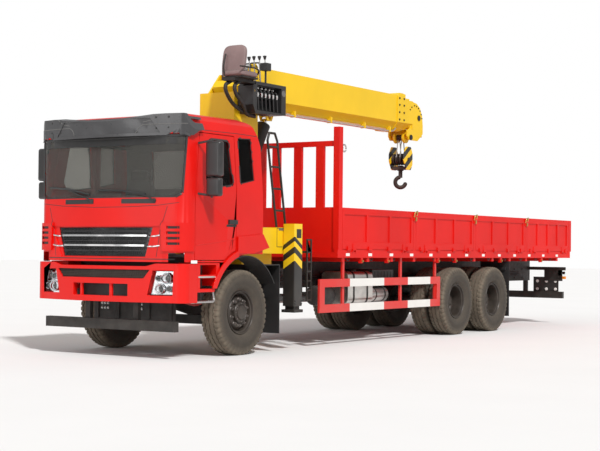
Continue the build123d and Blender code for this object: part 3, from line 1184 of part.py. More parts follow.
# Luffing cylinder: a barrel pinned in the turret and its rod towards the boom's lugs
lean = atan2(CYL_BASE_X - CYL_EYE_X, CYL_EYE_Z - CYL_BASE_Z)
closed_length = hypot(CYL_BASE_X - CYL_EYE_X, CYL_EYE_Z - CYL_BASE_Z)
along = Pos(CYL_BASE_X, 0, CYL_BASE_Z) * Rot(0, -degrees(lean), 0)
barrel_top = closed_length - 130
barrel = rod_z(0, 0, CYL_R, 80, barrel_top)
barrel += rod_y(0, 0, 75, -70, 70)
barrel += block(-60, 60, -70, 70, 0, 100)
barrel -= rod_z(0, 0, CYL_BORE_R, 140, barrel_top - 60)
barrel -= rod_z(0, 0, ROD_R + TURN_GAP, 130, barrel_top + 10)
barrel -= rod_y(0, 0, CYL_PIN_R + TURN_GAP, -100, 100)
save("luff_barrel", along * barrel)
rod = rod_z(0, 0, ROD_R, 160, closed_length - 110)
rod += rod_z(0, 0, 36, closed_length - 115, closed_length - 40)
rod += rod_z(0, 0, CYL_BORE_R - TURN_GAP, 150, 220)
rod += rod_y(0, closed_length, 52, -38, 38)
save("luff_rod", along * rod)

# Winch on the boom's root: drum, flanges, motor and its two side plates
WINCH_X, WINCH_Z = PIVOT_X - 235, 3835.0
DRUM_R, FLANGE_R = 82.0, 122.0
winch = rod_y(WINCH_X, WINCH_Z, DRUM_R, -200, 200)
for flange_y in (-200, -120, 185):
    winch += rod_y(WINCH_X, WINCH_Z, FLANGE_R, flange_y, flange_y + 15)
winch += rod_y(WINCH_X, WINCH_Z, 96, -245, -195)
plate_outline = [
    (WINCH_X - 60, WINCH_Z),
    (WINCH_X + 60, WINCH_Z),
    (WINCH_X + 90, 3716),
    (WINCH_X - 90, 3716),
]
for plate_y in (-200, 185):
    winch += side_outline(plate_outline, plate_y, plate_y + 15)
save("winch", winch - boom)

# Operator's station: the hose box with its levers, and the seat on a bracket of the turret
CONSOLE_Y0, CONSOLE_Y1 = TURRET_HALF_W + 10, 560.0
CONSOLE_X0, CONSOLE_X1 = 2770.0, 3560.0
CONSOLE_Z0, CONSOLE_Z1 = 3190.0, 3630.0
console_side = [
    (CONSOLE_X0, CONSOLE_Z0 + 30),
    (CONSOLE_X1 - 60, CONSOLE_Z0),
    (CONSOLE_X1, CONSOLE_Z0 + 120),
    (CONSOLE_X1, CONSOLE_Z1 - 60),
    (CONSOLE_X1 - 60, CONSOLE_Z1),
    (CONSOLE_X0, CONSOLE_Z1),
]
console = side_outline(console_side, CONSOLE_Y0, CONSOLE_Y1)
console -= block(CONSOLE_X0 + 110, CONSOLE_X1 - 90, CONSOLE_Y0 + 25, CONSOLE_Y1 + 5, CONSOLE_Z0 + 50, CONSOLE_Z1 - 45)
console += block(CONSOLE_X0 + 130, CONSOLE_X1 - 110, CONSOLE_Y0 + 10, CONSOLE_Y0 + 120, 3430, 3560)
console += block(3200, 3400, TURRET_HALF_W, CONSOLE_Y0 + 5, 3250, 3480)
LEVER_Y = 440.0
for lever_x, lever_z in ((3125, 4010), (3255, 3990), (3385, 3972), (3500, 3950)):
    lever_top = (lever_x, LEVER_Y, lever_z)
    console += rod_between((lever_x - 35, LEVER_Y, CONSOLE_Z1 - 10), lever_top, 7)
    console += Pos(*lever_top) * Sphere(16)
console += block(3198, 3318, 500, 600, 3796, 3900) + rod_z(3258, 550, 14, CONSOLE_Z1 - 10, 3800)
save("operator_console", console)
SEAT_X0, SEAT_X1 = 3600.0, 4010.0
SEAT_Y0, SEAT_Y1 = 330.0, 690.0
SEAT_Z = 3640.0
cushion = block(SEAT_X0, SEAT_X1, SEAT_Y0, SEAT_Y1, SEAT_Z, SEAT_Z + 80)
cushion = fillet(cushion.edges().filter_by(Axis.Z), 40)
back_outline = [
    (SEAT_X1 - 60, SEAT_Z + 40),
    (SEAT_X1 + 10, SEAT_Z + 40),
    (SEAT_X1 - 70, 4068),
    (SEAT_X1 - 130, 4070),
]
seat = cushion + side_outline(back_outline, SEAT_Y0, SEAT_Y1)
seat += block(SEAT_X0 - 20, SEAT_X1 - 40, 400, 520, SEAT_Z - 60, SEAT_Z + 5)
seat += block(CONSOLE_X1 - 30, SEAT_X0 + 60, 380, 520, SEAT_Z - 50, SEAT_Z - 20)
save("operator_seat", seat - console)
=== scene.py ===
import json
from itertools import product
from math import radians

import bmesh
import bpy
import numpy as np
from mathutils import Matrix, Vector
from mathutils.bvhtree import BVHTree

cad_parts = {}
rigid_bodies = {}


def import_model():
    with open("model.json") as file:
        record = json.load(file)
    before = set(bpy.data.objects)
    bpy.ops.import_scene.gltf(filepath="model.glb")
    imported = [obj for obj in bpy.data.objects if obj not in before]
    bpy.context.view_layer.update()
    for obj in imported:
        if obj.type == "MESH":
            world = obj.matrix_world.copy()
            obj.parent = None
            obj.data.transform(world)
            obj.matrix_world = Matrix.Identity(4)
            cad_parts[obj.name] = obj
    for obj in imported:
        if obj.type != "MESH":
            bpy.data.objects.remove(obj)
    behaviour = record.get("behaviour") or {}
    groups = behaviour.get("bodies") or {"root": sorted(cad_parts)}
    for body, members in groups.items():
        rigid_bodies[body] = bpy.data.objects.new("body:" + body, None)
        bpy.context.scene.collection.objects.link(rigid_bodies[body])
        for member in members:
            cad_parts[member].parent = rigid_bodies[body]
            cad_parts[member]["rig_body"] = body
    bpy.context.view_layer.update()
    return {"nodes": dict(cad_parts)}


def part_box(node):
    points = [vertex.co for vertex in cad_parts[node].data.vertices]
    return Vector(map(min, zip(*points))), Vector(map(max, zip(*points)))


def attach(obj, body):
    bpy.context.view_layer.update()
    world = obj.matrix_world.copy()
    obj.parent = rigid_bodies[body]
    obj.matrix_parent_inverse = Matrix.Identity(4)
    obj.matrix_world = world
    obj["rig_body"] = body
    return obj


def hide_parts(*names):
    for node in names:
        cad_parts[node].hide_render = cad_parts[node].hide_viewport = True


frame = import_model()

# A mobile crane: a six-wheeled cargo truck with a telescopic boom crane behind its cab.
# Metres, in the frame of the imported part: +X forward, +Y to the truck's left, +Z up.

TAU = 2 * np.pi
SIDES = (("left", 1), ("right", -1))
MERGE, DEGENERATE, NODE_MERGE = 1e-6, 1e-7, 2e-5
NODE_FLAT_ANGLE, NODE_SMOOTH, BEVEL_ANGLE = 1.5, 30, 38


# Forms: a form is a pair of arrays, its points (n x 3) and its faces (m x 4).
# A face that repeats its last point is a triangle.
def grid_form(points, wrap_rows=False, wrap_cols=False):
    """Quads over a rows x cols x 3 array of points; a wrapped direction closes on itself."""
    rows, cols = points.shape[:2]
    last_row, last_col = rows if wrap_rows else rows - 1, cols if wrap_cols else cols - 1
    r, c = np.meshgrid(np.arange(last_row), np.arange(last_col), indexing="ij")
    r1, c1 = (r + 1) % rows, (c + 1) % cols
    faces = np.stack([r * cols + c, r * cols + c1, r1 * cols + c1, r1 * cols + c], -1)
    return points.reshape(-1, 3), faces.reshape(-1, 4)


def joined(forms):
    """All points one after another, with each form's faces renumbered to follow its own."""
    forms = list(forms)
    starts = np.cumsum([0] + [len(points) for points, faces in forms[:-1]])
    points = np.concatenate([form[0] for form in forms])
    return points, np.concatenate([form[1] + start for form, start in zip(forms, starts)])


def moved(form, offset):
    """Every point plus the offset."""
    return form[0] + np.asarray(offset, float), form[1]


def both_sides(*forms):
    """The forms with their mirror images on the truck's other side, whose faces are turned back outwards."""
    points, faces = joined(forms)
    return joined([(points, faces), (points * (1, -1, 1), faces[:, ::-1])])


def boxes(lows, highs):
    """One box between each pair of low and high corners: corner k takes x, y and z from its three bits."""
    lows, highs = np.atleast_2d(np.array(lows, float)), np.atleast_2d(np.array(highs, float))
    bits = np.array([[k >> 2 & 1, k >> 1 & 1, k & 1] for k in range(8)])
    points = lows[:, None] + bits * (highs - lows)[:, None]
    faces = np.array([[0, 1, 3, 2], [4, 6, 7, 5], [0, 4, 5, 1], [2, 3, 7, 6], [0, 2, 6, 4], [1, 5, 7, 3]])
    return points.reshape(-1, 3), (faces + 8 * np.arange(len(lows))[:, None, None]).reshape(-1, 4)


def box_at(x, half, y0, y1, z0, z1):
    """A box that reaches half to either side of x."""
    return boxes((x - half, y0, z0), (x + half, y1, z1))


def unit(vectors):
    """Each vector divided by its length."""
    return vectors / np.maximum(np.linalg.norm(vectors, axis=-1, keepdims=True), 1e-12)


def capped(ring):
    """A fan of triangles from the middle of a closed ring of points."""
    points = np.vstack([ring, ring.mean(0)])
    k = np.arange(len(ring))
    tip = np.full_like(k, len(ring))
    return points, np.stack([k, (k + 1) % len(ring), tip, tip], -1)


def swept(path, profile, rise=(0, 0, 1), closed=False):
    """A (side, up) profile carried along a path: point + side * (tangent x rise) + up * (side x tangent)."""
    path, profile = np.array(path, float), np.array(profile, float)
    if closed:
        tangent = unit(np.roll(path, -1, 0) - np.roll(path, 1, 0))
    else:
        tangent = unit(np.gradient(path, axis=0))
    across = unit(np.cross(tangent, rise))
    upward = np.cross(across, tangent)
    points = path[:, None] + profile[None, :, :1] * across[:, None] + profile[None, :, 1:] * upward[:, None]
    form = grid_form(points, closed, True)
    return form if closed else joined([form, capped(points[0]), capped(points[-1][::-1])])


def around(radius, count, start=0.0):
    """radius * (cos t, sin t) for t evenly round from start."""
    t = start + np.arange(count) / count * TAU
    return np.stack([radius * np.cos(t), radius * np.sin(t)], -1)


def spread_rise(path):
    """The direction, out of a few, that stays furthest from the path's own directions."""
    tangent = unit(np.gradient(np.array(path, float), axis=0))
    choices = unit(np.array([[0, 0, 1], [0, 1, 0], [1, 0, 0], [1, 1, 1], [1, -1, 1], [-1, 1, 1.0]]))
    return choices[np.argmax(np.min(np.linalg.norm(np.cross(tangent[:, None], choices), axis=-1), 0))]


def pipe(path, radius, sides=10, closed=False):
    """A circle carried along a path."""
    return swept(path, around(radius, sides), spread_rise(path), closed)


def rod(start, end, radius):
    """A straight pipe."""
    return pipe([start, end], radius, 12)


def bent(corners, radius, steps=6):
    """A line through corners, each rounded by a quadratic curve that starts and ends radius away from it."""
    corners = np.array(corners, float)
    before = unit(corners[:-2] - corners[1:-1])
    after = unit(corners[2:] - corners[1:-1])
    t = np.linspace(0, 1, steps)[None, :, None]
    inner = corners[1:-1, None]
    a, b = inner + radius * before[:, None], inner + radius * after[:, None]
    curve = (1 - t) ** 2 * a + 2 * t * (1 - t) * inner + t**2 * b
    return np.vstack([corners[:1], curve.reshape(-1, corners.shape[1]), corners[-1:]])


def tube(corners, bend, radius, sides=10):
    """A pipe along a line through corners that are rounded."""
    return pipe(bent(corners, bend), radius, sides)


def rounded_outline(corners, radius, steps=5):
    """A closed outline with its corners rounded."""
    corners = np.array(corners, float)
    return bent(np.vstack([corners[-1:], corners, corners[:1]]), radius, steps)[1:-1]


def eased(points, count):
    """A smooth line through points: cubic spans whose slopes come from the neighbours (Catmull-Rom)."""
    points = np.array(points, float)
    padded = np.vstack([2 * points[0] - points[1], points, 2 * points[-1] - points[-2]])
    place = np.linspace(0, len(points) - 1, count)
    span = np.minimum(place.astype(int), len(points) - 2)
    t = (place - span)[:, None]
    p0, p1, p2, p3 = (padded[span + k] for k in range(4))
    squares, cubes = 2 * p0 - 5 * p1 + 4 * p2 - p3, 3 * p1 - p0 - 3 * p2 + p3
    return 0.5 * (2 * p1 + (p2 - p0) * t + squares * t**2 + cubes * t**3)


def turned(profile, centre=(0, 0, 0), axis="Y", sides=48):
    """A (radius, along) profile turned about an axis through centre: radius * (cos t, sin t) beside it."""
    profile = np.array(profile, float)
    t = np.arange(sides) / sides * TAU
    radius, along = profile[:, 0], profile[:, 1]
    a, b = radius * np.cos(t)[:, None], radius * np.sin(t)[:, None]
    c = np.broadcast_to(along, a.shape)
    order = {"X": (c, a, b), "Y": (b, c, a), "Z": (a, b, c)}[axis]
    return moved(grid_form(np.stack(order, -1), wrap_rows=True), centre)


def band(inner, outer, start, end):
    """The outline of a plain ring, or of a plain disc where inner is 0, for turned."""
    return [(inner, start), (outer, start), (outer, end), (inner, end)]


def prism(outline, start, end, axis="Y"):
    """A flat outline, in the two directions beside the axis, carried from start to end and closed there."""
    a, b = np.array(outline, float).T
    order = {"X": lambda c: (c, a, b), "Y": lambda c: (a, c, b)}[axis]
    rings = np.stack([np.stack(order(np.full(len(a), float(place))), -1) for place in (start, end)])
    return joined([grid_form(rings, False, True), capped(rings[0]), capped(rings[1][::-1])])


def turned_to(directions):
    """For each direction, a frame (n x 3 x 3) whose third column is that direction."""
    third = unit(np.atleast_2d(np.array(directions, float)))
    helper = np.where(np.abs(third[:, 2:]) > 0.9, [[1.0, 0, 0]], [[0, 0, 1.0]])
    first = unit(np.cross(helper, third))
    return np.stack([first, np.cross(third, first), third], -1)


def copies(form, places, direction):
    """The form repeated at each place with its +Z turned to the direction."""
    places = np.atleast_2d(np.array(places, float))
    frames = np.broadcast_to(turned_to(direction), (len(places), 3, 3))
    points = np.einsum("nij,kj->nki", frames, form[0]) + places[:, None]
    faces = form[1] + len(form[0]) * np.arange(len(places))[:, None, None]
    return points.reshape(-1, 3), faces.reshape(-1, 4)


def turned_along(profile, start, direction, sides=14):
    """A (radius, along) profile turned about a line from start in any direction."""
    return copies(turned(profile, axis="Z", sides=sides), start, direction)


def bolt(size, height):
    """A hexagon head on a washer, along +Z: rings of radius and height, six-sided above the washer."""
    rings = [(0, 0), (0.75, 0), (0.75, 0.12), (0.58, 0.12), (0.58, 0.85), (0.45, 1), (0, 1)]
    return turned([(r * size, h * height) for r, h in rings], axis="Z", sides=6)


def nut(size, height):
    """A wheel nut with the end of its stud."""
    rings = [(0, 0), (0.7, 0), (0.6, 0.2), (0.52, 0.25), (0.5, 0.62), (0.3, 0.7), (0.28, 1), (0, 1)]
    return turned([(r * size, h * height) for r, h in rings], axis="Z", sides=8)


def piece(name, form, body, material, smooth=40, bevel=0.0, replaces=()):
    """One finished piece from a form or a list of forms: doubles merged, faces turned outwards, edges sharper
    than smooth degrees kept."""
    points, faces = joined(form) if isinstance(form, list) else form
    mesh = bpy.data.meshes.new(name)
    mesh.vertices.add(len(points))
    mesh.vertices.foreach_set("co", np.ascontiguousarray(points, np.float32).ravel())
    sizes = np.where(faces[:, 2] == faces[:, 3], 3, 4)
    corners = faces[np.arange(4) < sizes[:, None]]
    mesh.loops.add(len(corners))
    mesh.loops.foreach_set("vertex_index", np.ascontiguousarray(corners, np.int32))
    mesh.polygons.add(len(faces))
    mesh.polygons.foreach_set("loop_start", (np.cumsum(sizes) - sizes).astype(np.int32))
    mesh.update(calc_edges=True)
    mesh.validate()
    cleaned = bmesh.new()
    cleaned.from_mesh(mesh)
    bmesh.ops.remove_doubles(cleaned, verts=cleaned.verts, dist=MERGE)
    bmesh.ops.dissolve_degenerate(cleaned, edges=cleaned.edges, dist=DEGENERATE)
    bmesh.ops.recalc_face_normals(cleaned, faces=cleaned.faces)
    return placed(name, mesh, cleaned, smooth, body, material, bevel, replaces)


def edged(node, material, bevel):
    """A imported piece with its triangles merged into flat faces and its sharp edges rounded, in its place."""
    source = frame["nodes"][node]
    mesh = source.data.copy()
    cleaned = bmesh.new()
    cleaned.from_mesh(mesh)
    bmesh.ops.remove_doubles(cleaned, verts=cleaned.verts, dist=NODE_MERGE)
    bmesh.ops.dissolve_limit(
        cleaned, angle_limit=radians(NODE_FLAT_ANGLE), verts=cleaned.verts, edges=cleaned.edges
    )
    return placed(node + "_edged", mesh, cleaned, NODE_SMOOTH, source["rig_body"], material, bevel, node)


def placed(name, mesh, cleaned, smooth, body, material, bevel, replaces):
    """The cleaned mesh as an object that rides its body, with its finish and rounded edges."""
    cleaned.to_mesh(mesh)
    cleaned.free()
    mesh.shade_smooth()
    mesh.set_sharp_from_angle(angle=radians(smooth))
    thing = bpy.data.objects.new(name, mesh)
    bpy.context.scene.collection.objects.link(thing)
    mesh.materials.clear()
    mesh.materials.append(material)
    if bevel:
        rounded = thing.modifiers.new("edges", "BEVEL")
        rounded.width = bevel
        rounded.segments = 2
        rounded.limit_method = "ANGLE"
        rounded.angle_limit = radians(BEVEL_ANGLE)
        rounded.harden_normals = True
    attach(thing, body)
    if replaces:
        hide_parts(*([replaces] if isinstance(replaces, str) else replaces))
    return thing


# Finishes: each works on object coordinates, so a pattern stays where the piece is
DUST, DUST_FALL, RUST = (0.32, 0.27, 0.21), 1.2, (0.17, 0.065, 0.03)


def scaled(colour, factor, plus=0.0):
    """Each channel times the factor, plus a little, up to 1."""
    return tuple(min(channel * factor + plus, 1) for channel in colour)


class Finish:
    """A material with a principled shader, and short calls for the nodes that feed it."""

    def __init__(self, name, roughness=0.5, metallic=0.0, coat=0.0, coat_roughness=0.1, specular=0.5):
        """The shader's even settings; patterns read the object's coordinates."""
        self.material = bpy.data.materials.new(name)
        self.material.use_nodes = True
        self.tree = self.material.node_tree
        self.shader = self.tree.nodes["Principled BSDF"]
        self.shader.inputs["Roughness"].default_value = roughness
        self.shader.inputs["Metallic"].default_value = metallic
        self.shader.inputs["Coat Weight"].default_value = coat
        self.shader.inputs["Coat Roughness"].default_value = coat_roughness
        self.shader.inputs["Specular IOR Level"].default_value = specular
        self.place = self.node("ShaderNodeTexCoord").outputs["Object"]

    def node(self, kind, **inputs):
        """A new node whose inputs are fed by name, with underscores for spaces."""
        made = self.tree.nodes.new(kind)
        for key, value in inputs.items():
            self.feed(made.inputs[key.replace("_", " ")], value)
        return made

    def feed(self, socket, value):
        """Links another node's output, or sets a plain value; a colour is opaque."""
        if isinstance(value, bpy.types.NodeSocket):
            self.tree.links.new(value, socket)
        elif isinstance(value, tuple) and len(value) == 3 and len(socket.default_value) == 4:
            socket.default_value = (*value, 1)
        else:
            socket.default_value = value

    def noise(self, scale, detail=3.0, roughness=0.55, place=None):
        """Noise from 0 to 1, with scale waves to a metre."""
        place = place or self.place
        made = self.node("ShaderNodeTexNoise", Vector=place, Scale=scale, Detail=detail, Roughness=roughness)
        return made.outputs["Fac"]

    def math(self, operation, a, b=0.0):
        """One operation on two values."""
        made = self.tree.nodes.new("ShaderNodeMath")
        made.operation = operation
        self.feed(made.inputs[0], a)
        self.feed(made.inputs[1], b)
        return made.outputs[0]

    def within(self, value, start, end):
        """1 between two limits and 0 outside them."""
        above, below = self.math("GREATER_THAN", value, start), self.math("LESS_THAN", value, end)
        return self.math("MULTIPLY", above, below)

    def ramp(self, value, low_in, high_in, low_out=0.0, high_out=1.0):
        """The value carried evenly from one range onto another, and held at its ends."""
        limits = {"From_Min": low_in, "From_Max": high_in, "To_Min": low_out, "To_Max": high_out}
        return self.node("ShaderNodeMapRange", Value=value, **limits).outputs["Result"]

    def mix(self, share, a, b):
        """Colour a times one less the share, plus colour b times the share."""
        made = self.tree.nodes.new("ShaderNodeMix")
        made.data_type = "RGBA"
        self.feed(made.inputs["Factor"], share)
        self.feed(made.inputs[6], a)
        self.feed(made.inputs[7], b)
        return made.outputs[2]

    def along(self, axis):
        """The object coordinate on one axis."""
        return self.node("ShaderNodeSeparateXYZ", Vector=self.place).outputs[axis]

    def blotched(self, colour, other, scale, detail, low, high):
        """The colour with patches of another where the noise lies above low, in full from high."""
        return self.mix(self.ramp(self.noise(scale, detail), low, high), colour, other)

    def colour(self, value):
        """Feeds the surface's own colour."""
        self.feed(self.shader.inputs["Base Color"], value)

    def dusty(self, colour, amount, top):
        """Colours the surface, with patches of dust that thin out towards top; returns their share."""
        height = self.ramp(self.along("Z"), top - DUST_FALL, top, 1.0, 0.0)
        patches = self.ramp(self.noise(3.2, 6.0, 0.65), 0.35, 0.75)
        share = self.math("MULTIPLY", self.math("MULTIPLY", height, patches), amount)
        self.colour(self.mix(share, colour, DUST))
        return share

    def rough(self, value, low_in, high_in, low_out, high_out):
        """Roughness that follows a value, as ramp says."""
        roughness = self.ramp(value, low_in, high_in, low_out, high_out)
        self.feed(self.shader.inputs["Roughness"], roughness)

    def bump(self, height, depth, strength):
        """Leans the shading by the slopes of height times depth."""
        made = self.node("ShaderNodeBump", Height=height, Distance=depth, Strength=strength)
        self.tree.links.new(made.outputs["Normal"], self.shader.inputs["Normal"])


def paint(name, colour, dust=0.25, top=1.4, roughness=0.32, coat=0.5, fade=0.86, lining=None):
    """Sprayed enamel: a slow change of tone, fine orange peel under a clear gloss, and dust low down. A lining
    is a half width, the rear wall's lines of X over Z, a front end, two heights and a colour: what lies inside
    those limits takes that colour."""
    finish = Finish(name, roughness, coat=coat, coat_roughness=0.12, specular=0.3)
    tone = finish.blotched(colour, scaled(colour, fade), 0.9, 4.0, 0.35, 0.65)
    if lining:
        half, rear, front, low_z, high_z, trim = lining
        wall = 0.0
        for slope, start in rear:
            line = finish.math("ADD", finish.math("MULTIPLY", finish.along("Z"), slope), start)
            wall = finish.math("MAXIMUM", line, wall)
        inside = finish.math("LESS_THAN", finish.math("ABSOLUTE", finish.along("Y")), half)
        inside = finish.math("MULTIPLY", inside, finish.within(finish.along("X"), wall, front))
        inside = finish.math("MULTIPLY", inside, finish.within(finish.along("Z"), low_z, high_z))
        tone = finish.mix(inside, tone, trim)
    finish.rough(finish.dusty(tone, dust, top), 0.0, 1.0, roughness, 0.85)
    finish.bump(finish.noise(260.0, 2.0), 0.0006, 0.25)
    return finish.material


def coarse_metal(
    name, colour, metallic=0.0, roughness=0.55, grain=90.0, depth=0.001, dust=0.3, top=1.3, rust=0.0
):
    """Rough coated or cast metal: blotched tone, a grainy skin, dust low down and a little rust in patches."""
    finish = Finish(name, roughness, metallic)
    tone = finish.blotched(colour, scaled(colour, 1.5, 0.006), 6.0, 5.0, 0.4, 0.7)
    if rust:
        patch = finish.math("MULTIPLY", finish.ramp(finish.noise(11.0, 8.0, 0.7), 0.6, 0.72), rust)
        tone = finish.mix(patch, tone, RUST)
    finish.dusty(tone, dust, top)
    finish.rough(finish.noise(14.0, 4.0), 0.3, 0.7, roughness * 0.85, min(roughness * 1.25, 1))
    finish.bump(finish.noise(grain, 4.0), depth, 0.5)
    return finish.material


def tyre_rubber():
    """Black rubber: the wear attribute, 1 on the tread and less on the wall, says where pale dust sits."""
    finish = Finish("tyre_rubber", 0.85)
    wear = finish.node("ShaderNodeAttribute")
    wear.attribute_name = "wear"
    patches = finish.ramp(finish.noise(7.0, 6.0, 0.65), 0.25, 0.8, 0.35, 1.0)
    share = finish.math("MULTIPLY", wear.outputs["Fac"], patches)
    tone = finish.mix(finish.noise(30.0, 3.0), (0.024, 0.02, 0.017), (0.045, 0.037, 0.03))
    finish.colour(finish.mix(share, tone, (0.2, 0.16, 0.115)))
    finish.bump(finish.noise(420.0, 2.0), 0.0006, 0.4)
    return finish.material


def brushed(name, colour, roughness=0.3, axis_scale=(2.0, 60.0, 60.0)):
    """Rolled sheet metal: fine lines along one axis in roughness and bump, with faint smudges."""
    finish = Finish(name, roughness, 1.0)
    lines = finish.node("ShaderNodeMapping", Vector=finish.place, Scale=axis_scale)
    grain = finish.noise(9.0, 4.0, 0.6, lines.outputs["Vector"])
    finish.rough(grain, 0.2, 0.8, roughness * 0.7, roughness * 1.5)
    finish.colour(finish.blotched(colour, scaled(colour, 0.72), 5.0, 4.0, 0.4, 0.75))
    finish.bump(grain, 0.0004, 0.3)
    return finish.material


def moulded(name, colour, roughness=0.55, grain=180.0, depth=0.0008, coat=0.0):
    """Moulded plastic: a fine leather-like grain and slightly faded patches."""
    finish = Finish(name, roughness, coat=coat)
    finish.colour(finish.blotched(colour, scaled(colour, 1.35, 0.01), 3.0, 4.0, 0.45, 0.8))
    finish.rough(finish.noise(20.0, 3.0), 0.3, 0.7, roughness * 0.9, min(roughness * 1.15, 1))
    cells = finish.node("ShaderNodeTexVoronoi", Vector=finish.place, Scale=grain)
    finish.bump(cells.outputs["Distance"], depth, 0.35)
    return finish.material


def striped(name, dark, bright, direction, width, phase):
    """Slanting stripes: the distance along direction, in widths, is dark where its fraction is under a half."""
    finish = Finish(name, 0.4, coat=0.2)
    product_node = finish.tree.nodes.new("ShaderNodeVectorMath")
    product_node.operation = "DOT_PRODUCT"
    finish.feed(product_node.inputs[0], finish.place)
    product_node.inputs[1].default_value = direction
    steps = finish.math("ADD", finish.math("DIVIDE", product_node.outputs["Value"], 2 * width), phase)
    side = finish.math("GREATER_THAN", finish.math("FRACT", steps), 0.5)
    finish.dusty(finish.mix(side, dark, bright), 0.15, 1.6)
    finish.rough(finish.noise(16.0, 3.0), 0.3, 0.7, 0.32, 0.52)
    finish.bump(finish.noise(300.0, 2.0), 0.0004, 0.2)
    return finish.material


def marked(name, base, mark, ranges):
    """Paint with plain patches of a second colour wherever X lies inside one of the ranges."""
    finish = Finish(name, 0.4, coat=0.2)
    total = 0.0
    for start, end in ranges:
        total = finish.math("ADD", finish.within(finish.along("X"), start, end), total)
    finish.dusty(finish.mix(total, base, mark), 0.15, 1.6)
    finish.bump(finish.noise(300.0, 2.0), 0.0004, 0.2)
    return finish.material


BAND_SLOPE, BAND_LOW, BAND_HIGH = 0.65, 0.5, 2.5


def leg_bands(name, corner, bands):
    """Black leg with slanting yellow bands: z plus a slope times the distance from the leg's front outer corner
    picks the band, from a table of heights at which the colour changes."""
    finish = Finish(name, 0.4, coat=0.2)
    back = finish.math("SUBTRACT", corner[0], finish.along("X"))
    inward = finish.math("SUBTRACT", corner[1], finish.math("ABSOLUTE", finish.along("Y")))
    shift = finish.math("MULTIPLY", finish.math("ADD", back, inward), BAND_SLOPE)
    share = finish.ramp(finish.math("ADD", finish.along("Z"), shift), BAND_LOW, BAND_HIGH)
    steps = finish.node("ShaderNodeValToRGB", Fac=share)
    steps.color_ramp.interpolation = "CONSTANT"
    stops = steps.color_ramp.elements
    while len(stops) < len(bands):
        stops.new(0.5)
    for stop, (height, colour) in zip(stops, bands):
        stop.position = (height - BAND_LOW) / (BAND_HIGH - BAND_LOW)
        stop.color = (*colour, 1)
    finish.dusty(steps.outputs["Color"], 0.2, 1.2)
    finish.bump(finish.noise(260.0, 2.0), 0.0005, 0.25)
    return finish.material


GLASS_ROUGHNESS, PANE_IOR, HAZE, WINDSCREEN_X = 0.02, 1.12, (0.5, 0.5, 0.48), 5.3


def clear_glass(name, tint, clear=1.0, rear_tint=None):
    """Tinted pane: light passes with the glass's own colour, and dust makes it a little rough in places. A rear
    tint is that of the same piece's panes behind the windscreen, which are quite clear."""
    finish = Finish(name, GLASS_ROUGHNESS)
    finish.shader.inputs["Transmission Weight"].default_value = clear
    finish.shader.inputs["IOR"].default_value = PANE_IOR
    haze = finish.mix(finish.ramp(finish.noise(2.0, 3.0), 0.3, 0.8, 0.0, 0.3), tint, HAZE)
    if rear_tint:
        ahead = finish.math("GREATER_THAN", finish.along("X"), WINDSCREEN_X)
        haze = finish.mix(ahead, rear_tint, haze)
        finish.feed(finish.shader.inputs["Transmission Weight"], finish.ramp(ahead, 0.0, 1.0, 1.0, clear))
    finish.colour(haze)
    finish.rough(finish.noise(9.0, 5.0), 0.45, 0.8, GLASS_ROUGHNESS, 0.12)
    return finish.material


def lit_plastic(name, colour):
    """Lamp or reflector plastic: colour with fine moulded ribs under a gloss."""
    finish = Finish(name, 0.18, coat=0.6, coat_roughness=0.05)
    finish.colour(finish.mix(finish.noise(40.0, 2.0), colour, scaled(colour, 1.2)))
    finish.bump(finish.node("ShaderNodeTexWave", Vector=finish.place, Scale=90.0).outputs["Fac"], 0.001, 0.4)
    return finish.material


def twisted_wire():
    """Steel rope: dark and bright bands that slant round the strands."""
    finish = Finish("twisted_wire", 0.45, 0.7)
    wave = finish.node("ShaderNodeTexWave", Vector=finish.place, Scale=60.0)
    wave.bands_direction = "DIAGONAL"
    finish.colour(finish.mix(wave.outputs["Fac"], (0.12, 0.11, 0.1), (0.5, 0.48, 0.45)))
    finish.bump(wave.outputs["Fac"], 0.001, 0.7)
    return finish.material


RED, YELLOW, BLACK = (0.72, 0.004, 0.001), (0.86, 0.55, 0.01), (0.018, 0.016, 0.015)
REAR_WALL = ((0.0, 4.25), (0.19, 3.785), (0.49, 2.9585))
LINING = (1.04, REAR_WALL, 5.62, 1.34, 2.93, (0.17, 0.165, 0.17))
EVEN_GRAIN = (50.0, 50.0, 50.0)
cab_red = paint("cab_red", RED, 0.05, 1.1, 0.4, 0.12, lining=LINING)
bed_red = paint("bed_red", RED, 0.04, 1.5, 0.5, 0.05)
deep_red = paint("deep_red", (0.2, 0.01, 0.008), 0.05, 1.1)
crane_yellow = paint("crane_yellow", YELLOW, 0.08, 1.5, 0.38, 0.18, 0.9)
chassis_black = coarse_metal("chassis_black", BLACK, dust=0.18, top=1.2)
dark_steel = coarse_metal("dark_steel", (0.024, 0.021, 0.019), 0.3, 0.5, dust=0.1, rust=0.1)
rim_brown = coarse_metal("rim_brown", (0.028, 0.021, 0.017), 0.2, 0.42, 60.0, dust=0.16)
nut_steel = coarse_metal("nut_steel", (0.15, 0.13, 0.12), 0.7, 0.4, 60.0, dust=0.1)
cast_iron = coarse_metal("cast_iron", (0.05, 0.035, 0.03), 0.6, 0.6, 45.0, 0.002, 0.0)
engine_grey = coarse_metal("engine_grey", (0.16, 0.165, 0.17), 0.3, 0.6, 50.0, 0.002, 0.5)
aluminium = brushed("aluminium", (0.74, 0.72, 0.68))
tank_silver = brushed("tank_silver", (0.6, 0.59, 0.56), 0.35)
bright_steel = brushed("bright_steel", (0.62, 0.61, 0.6), 0.25, EVEN_GRAIN)
gold_metal = brushed("gold_metal", (0.7, 0.45, 0.14), 0.3, EVEN_GRAIN)
chrome = brushed("chrome", (0.86, 0.86, 0.87), 0.1, (30.0, 30.0, 30.0))
visor_grey = moulded("visor_grey", (0.042, 0.041, 0.043), 0.3, 220.0, 0.0004, 0.5)
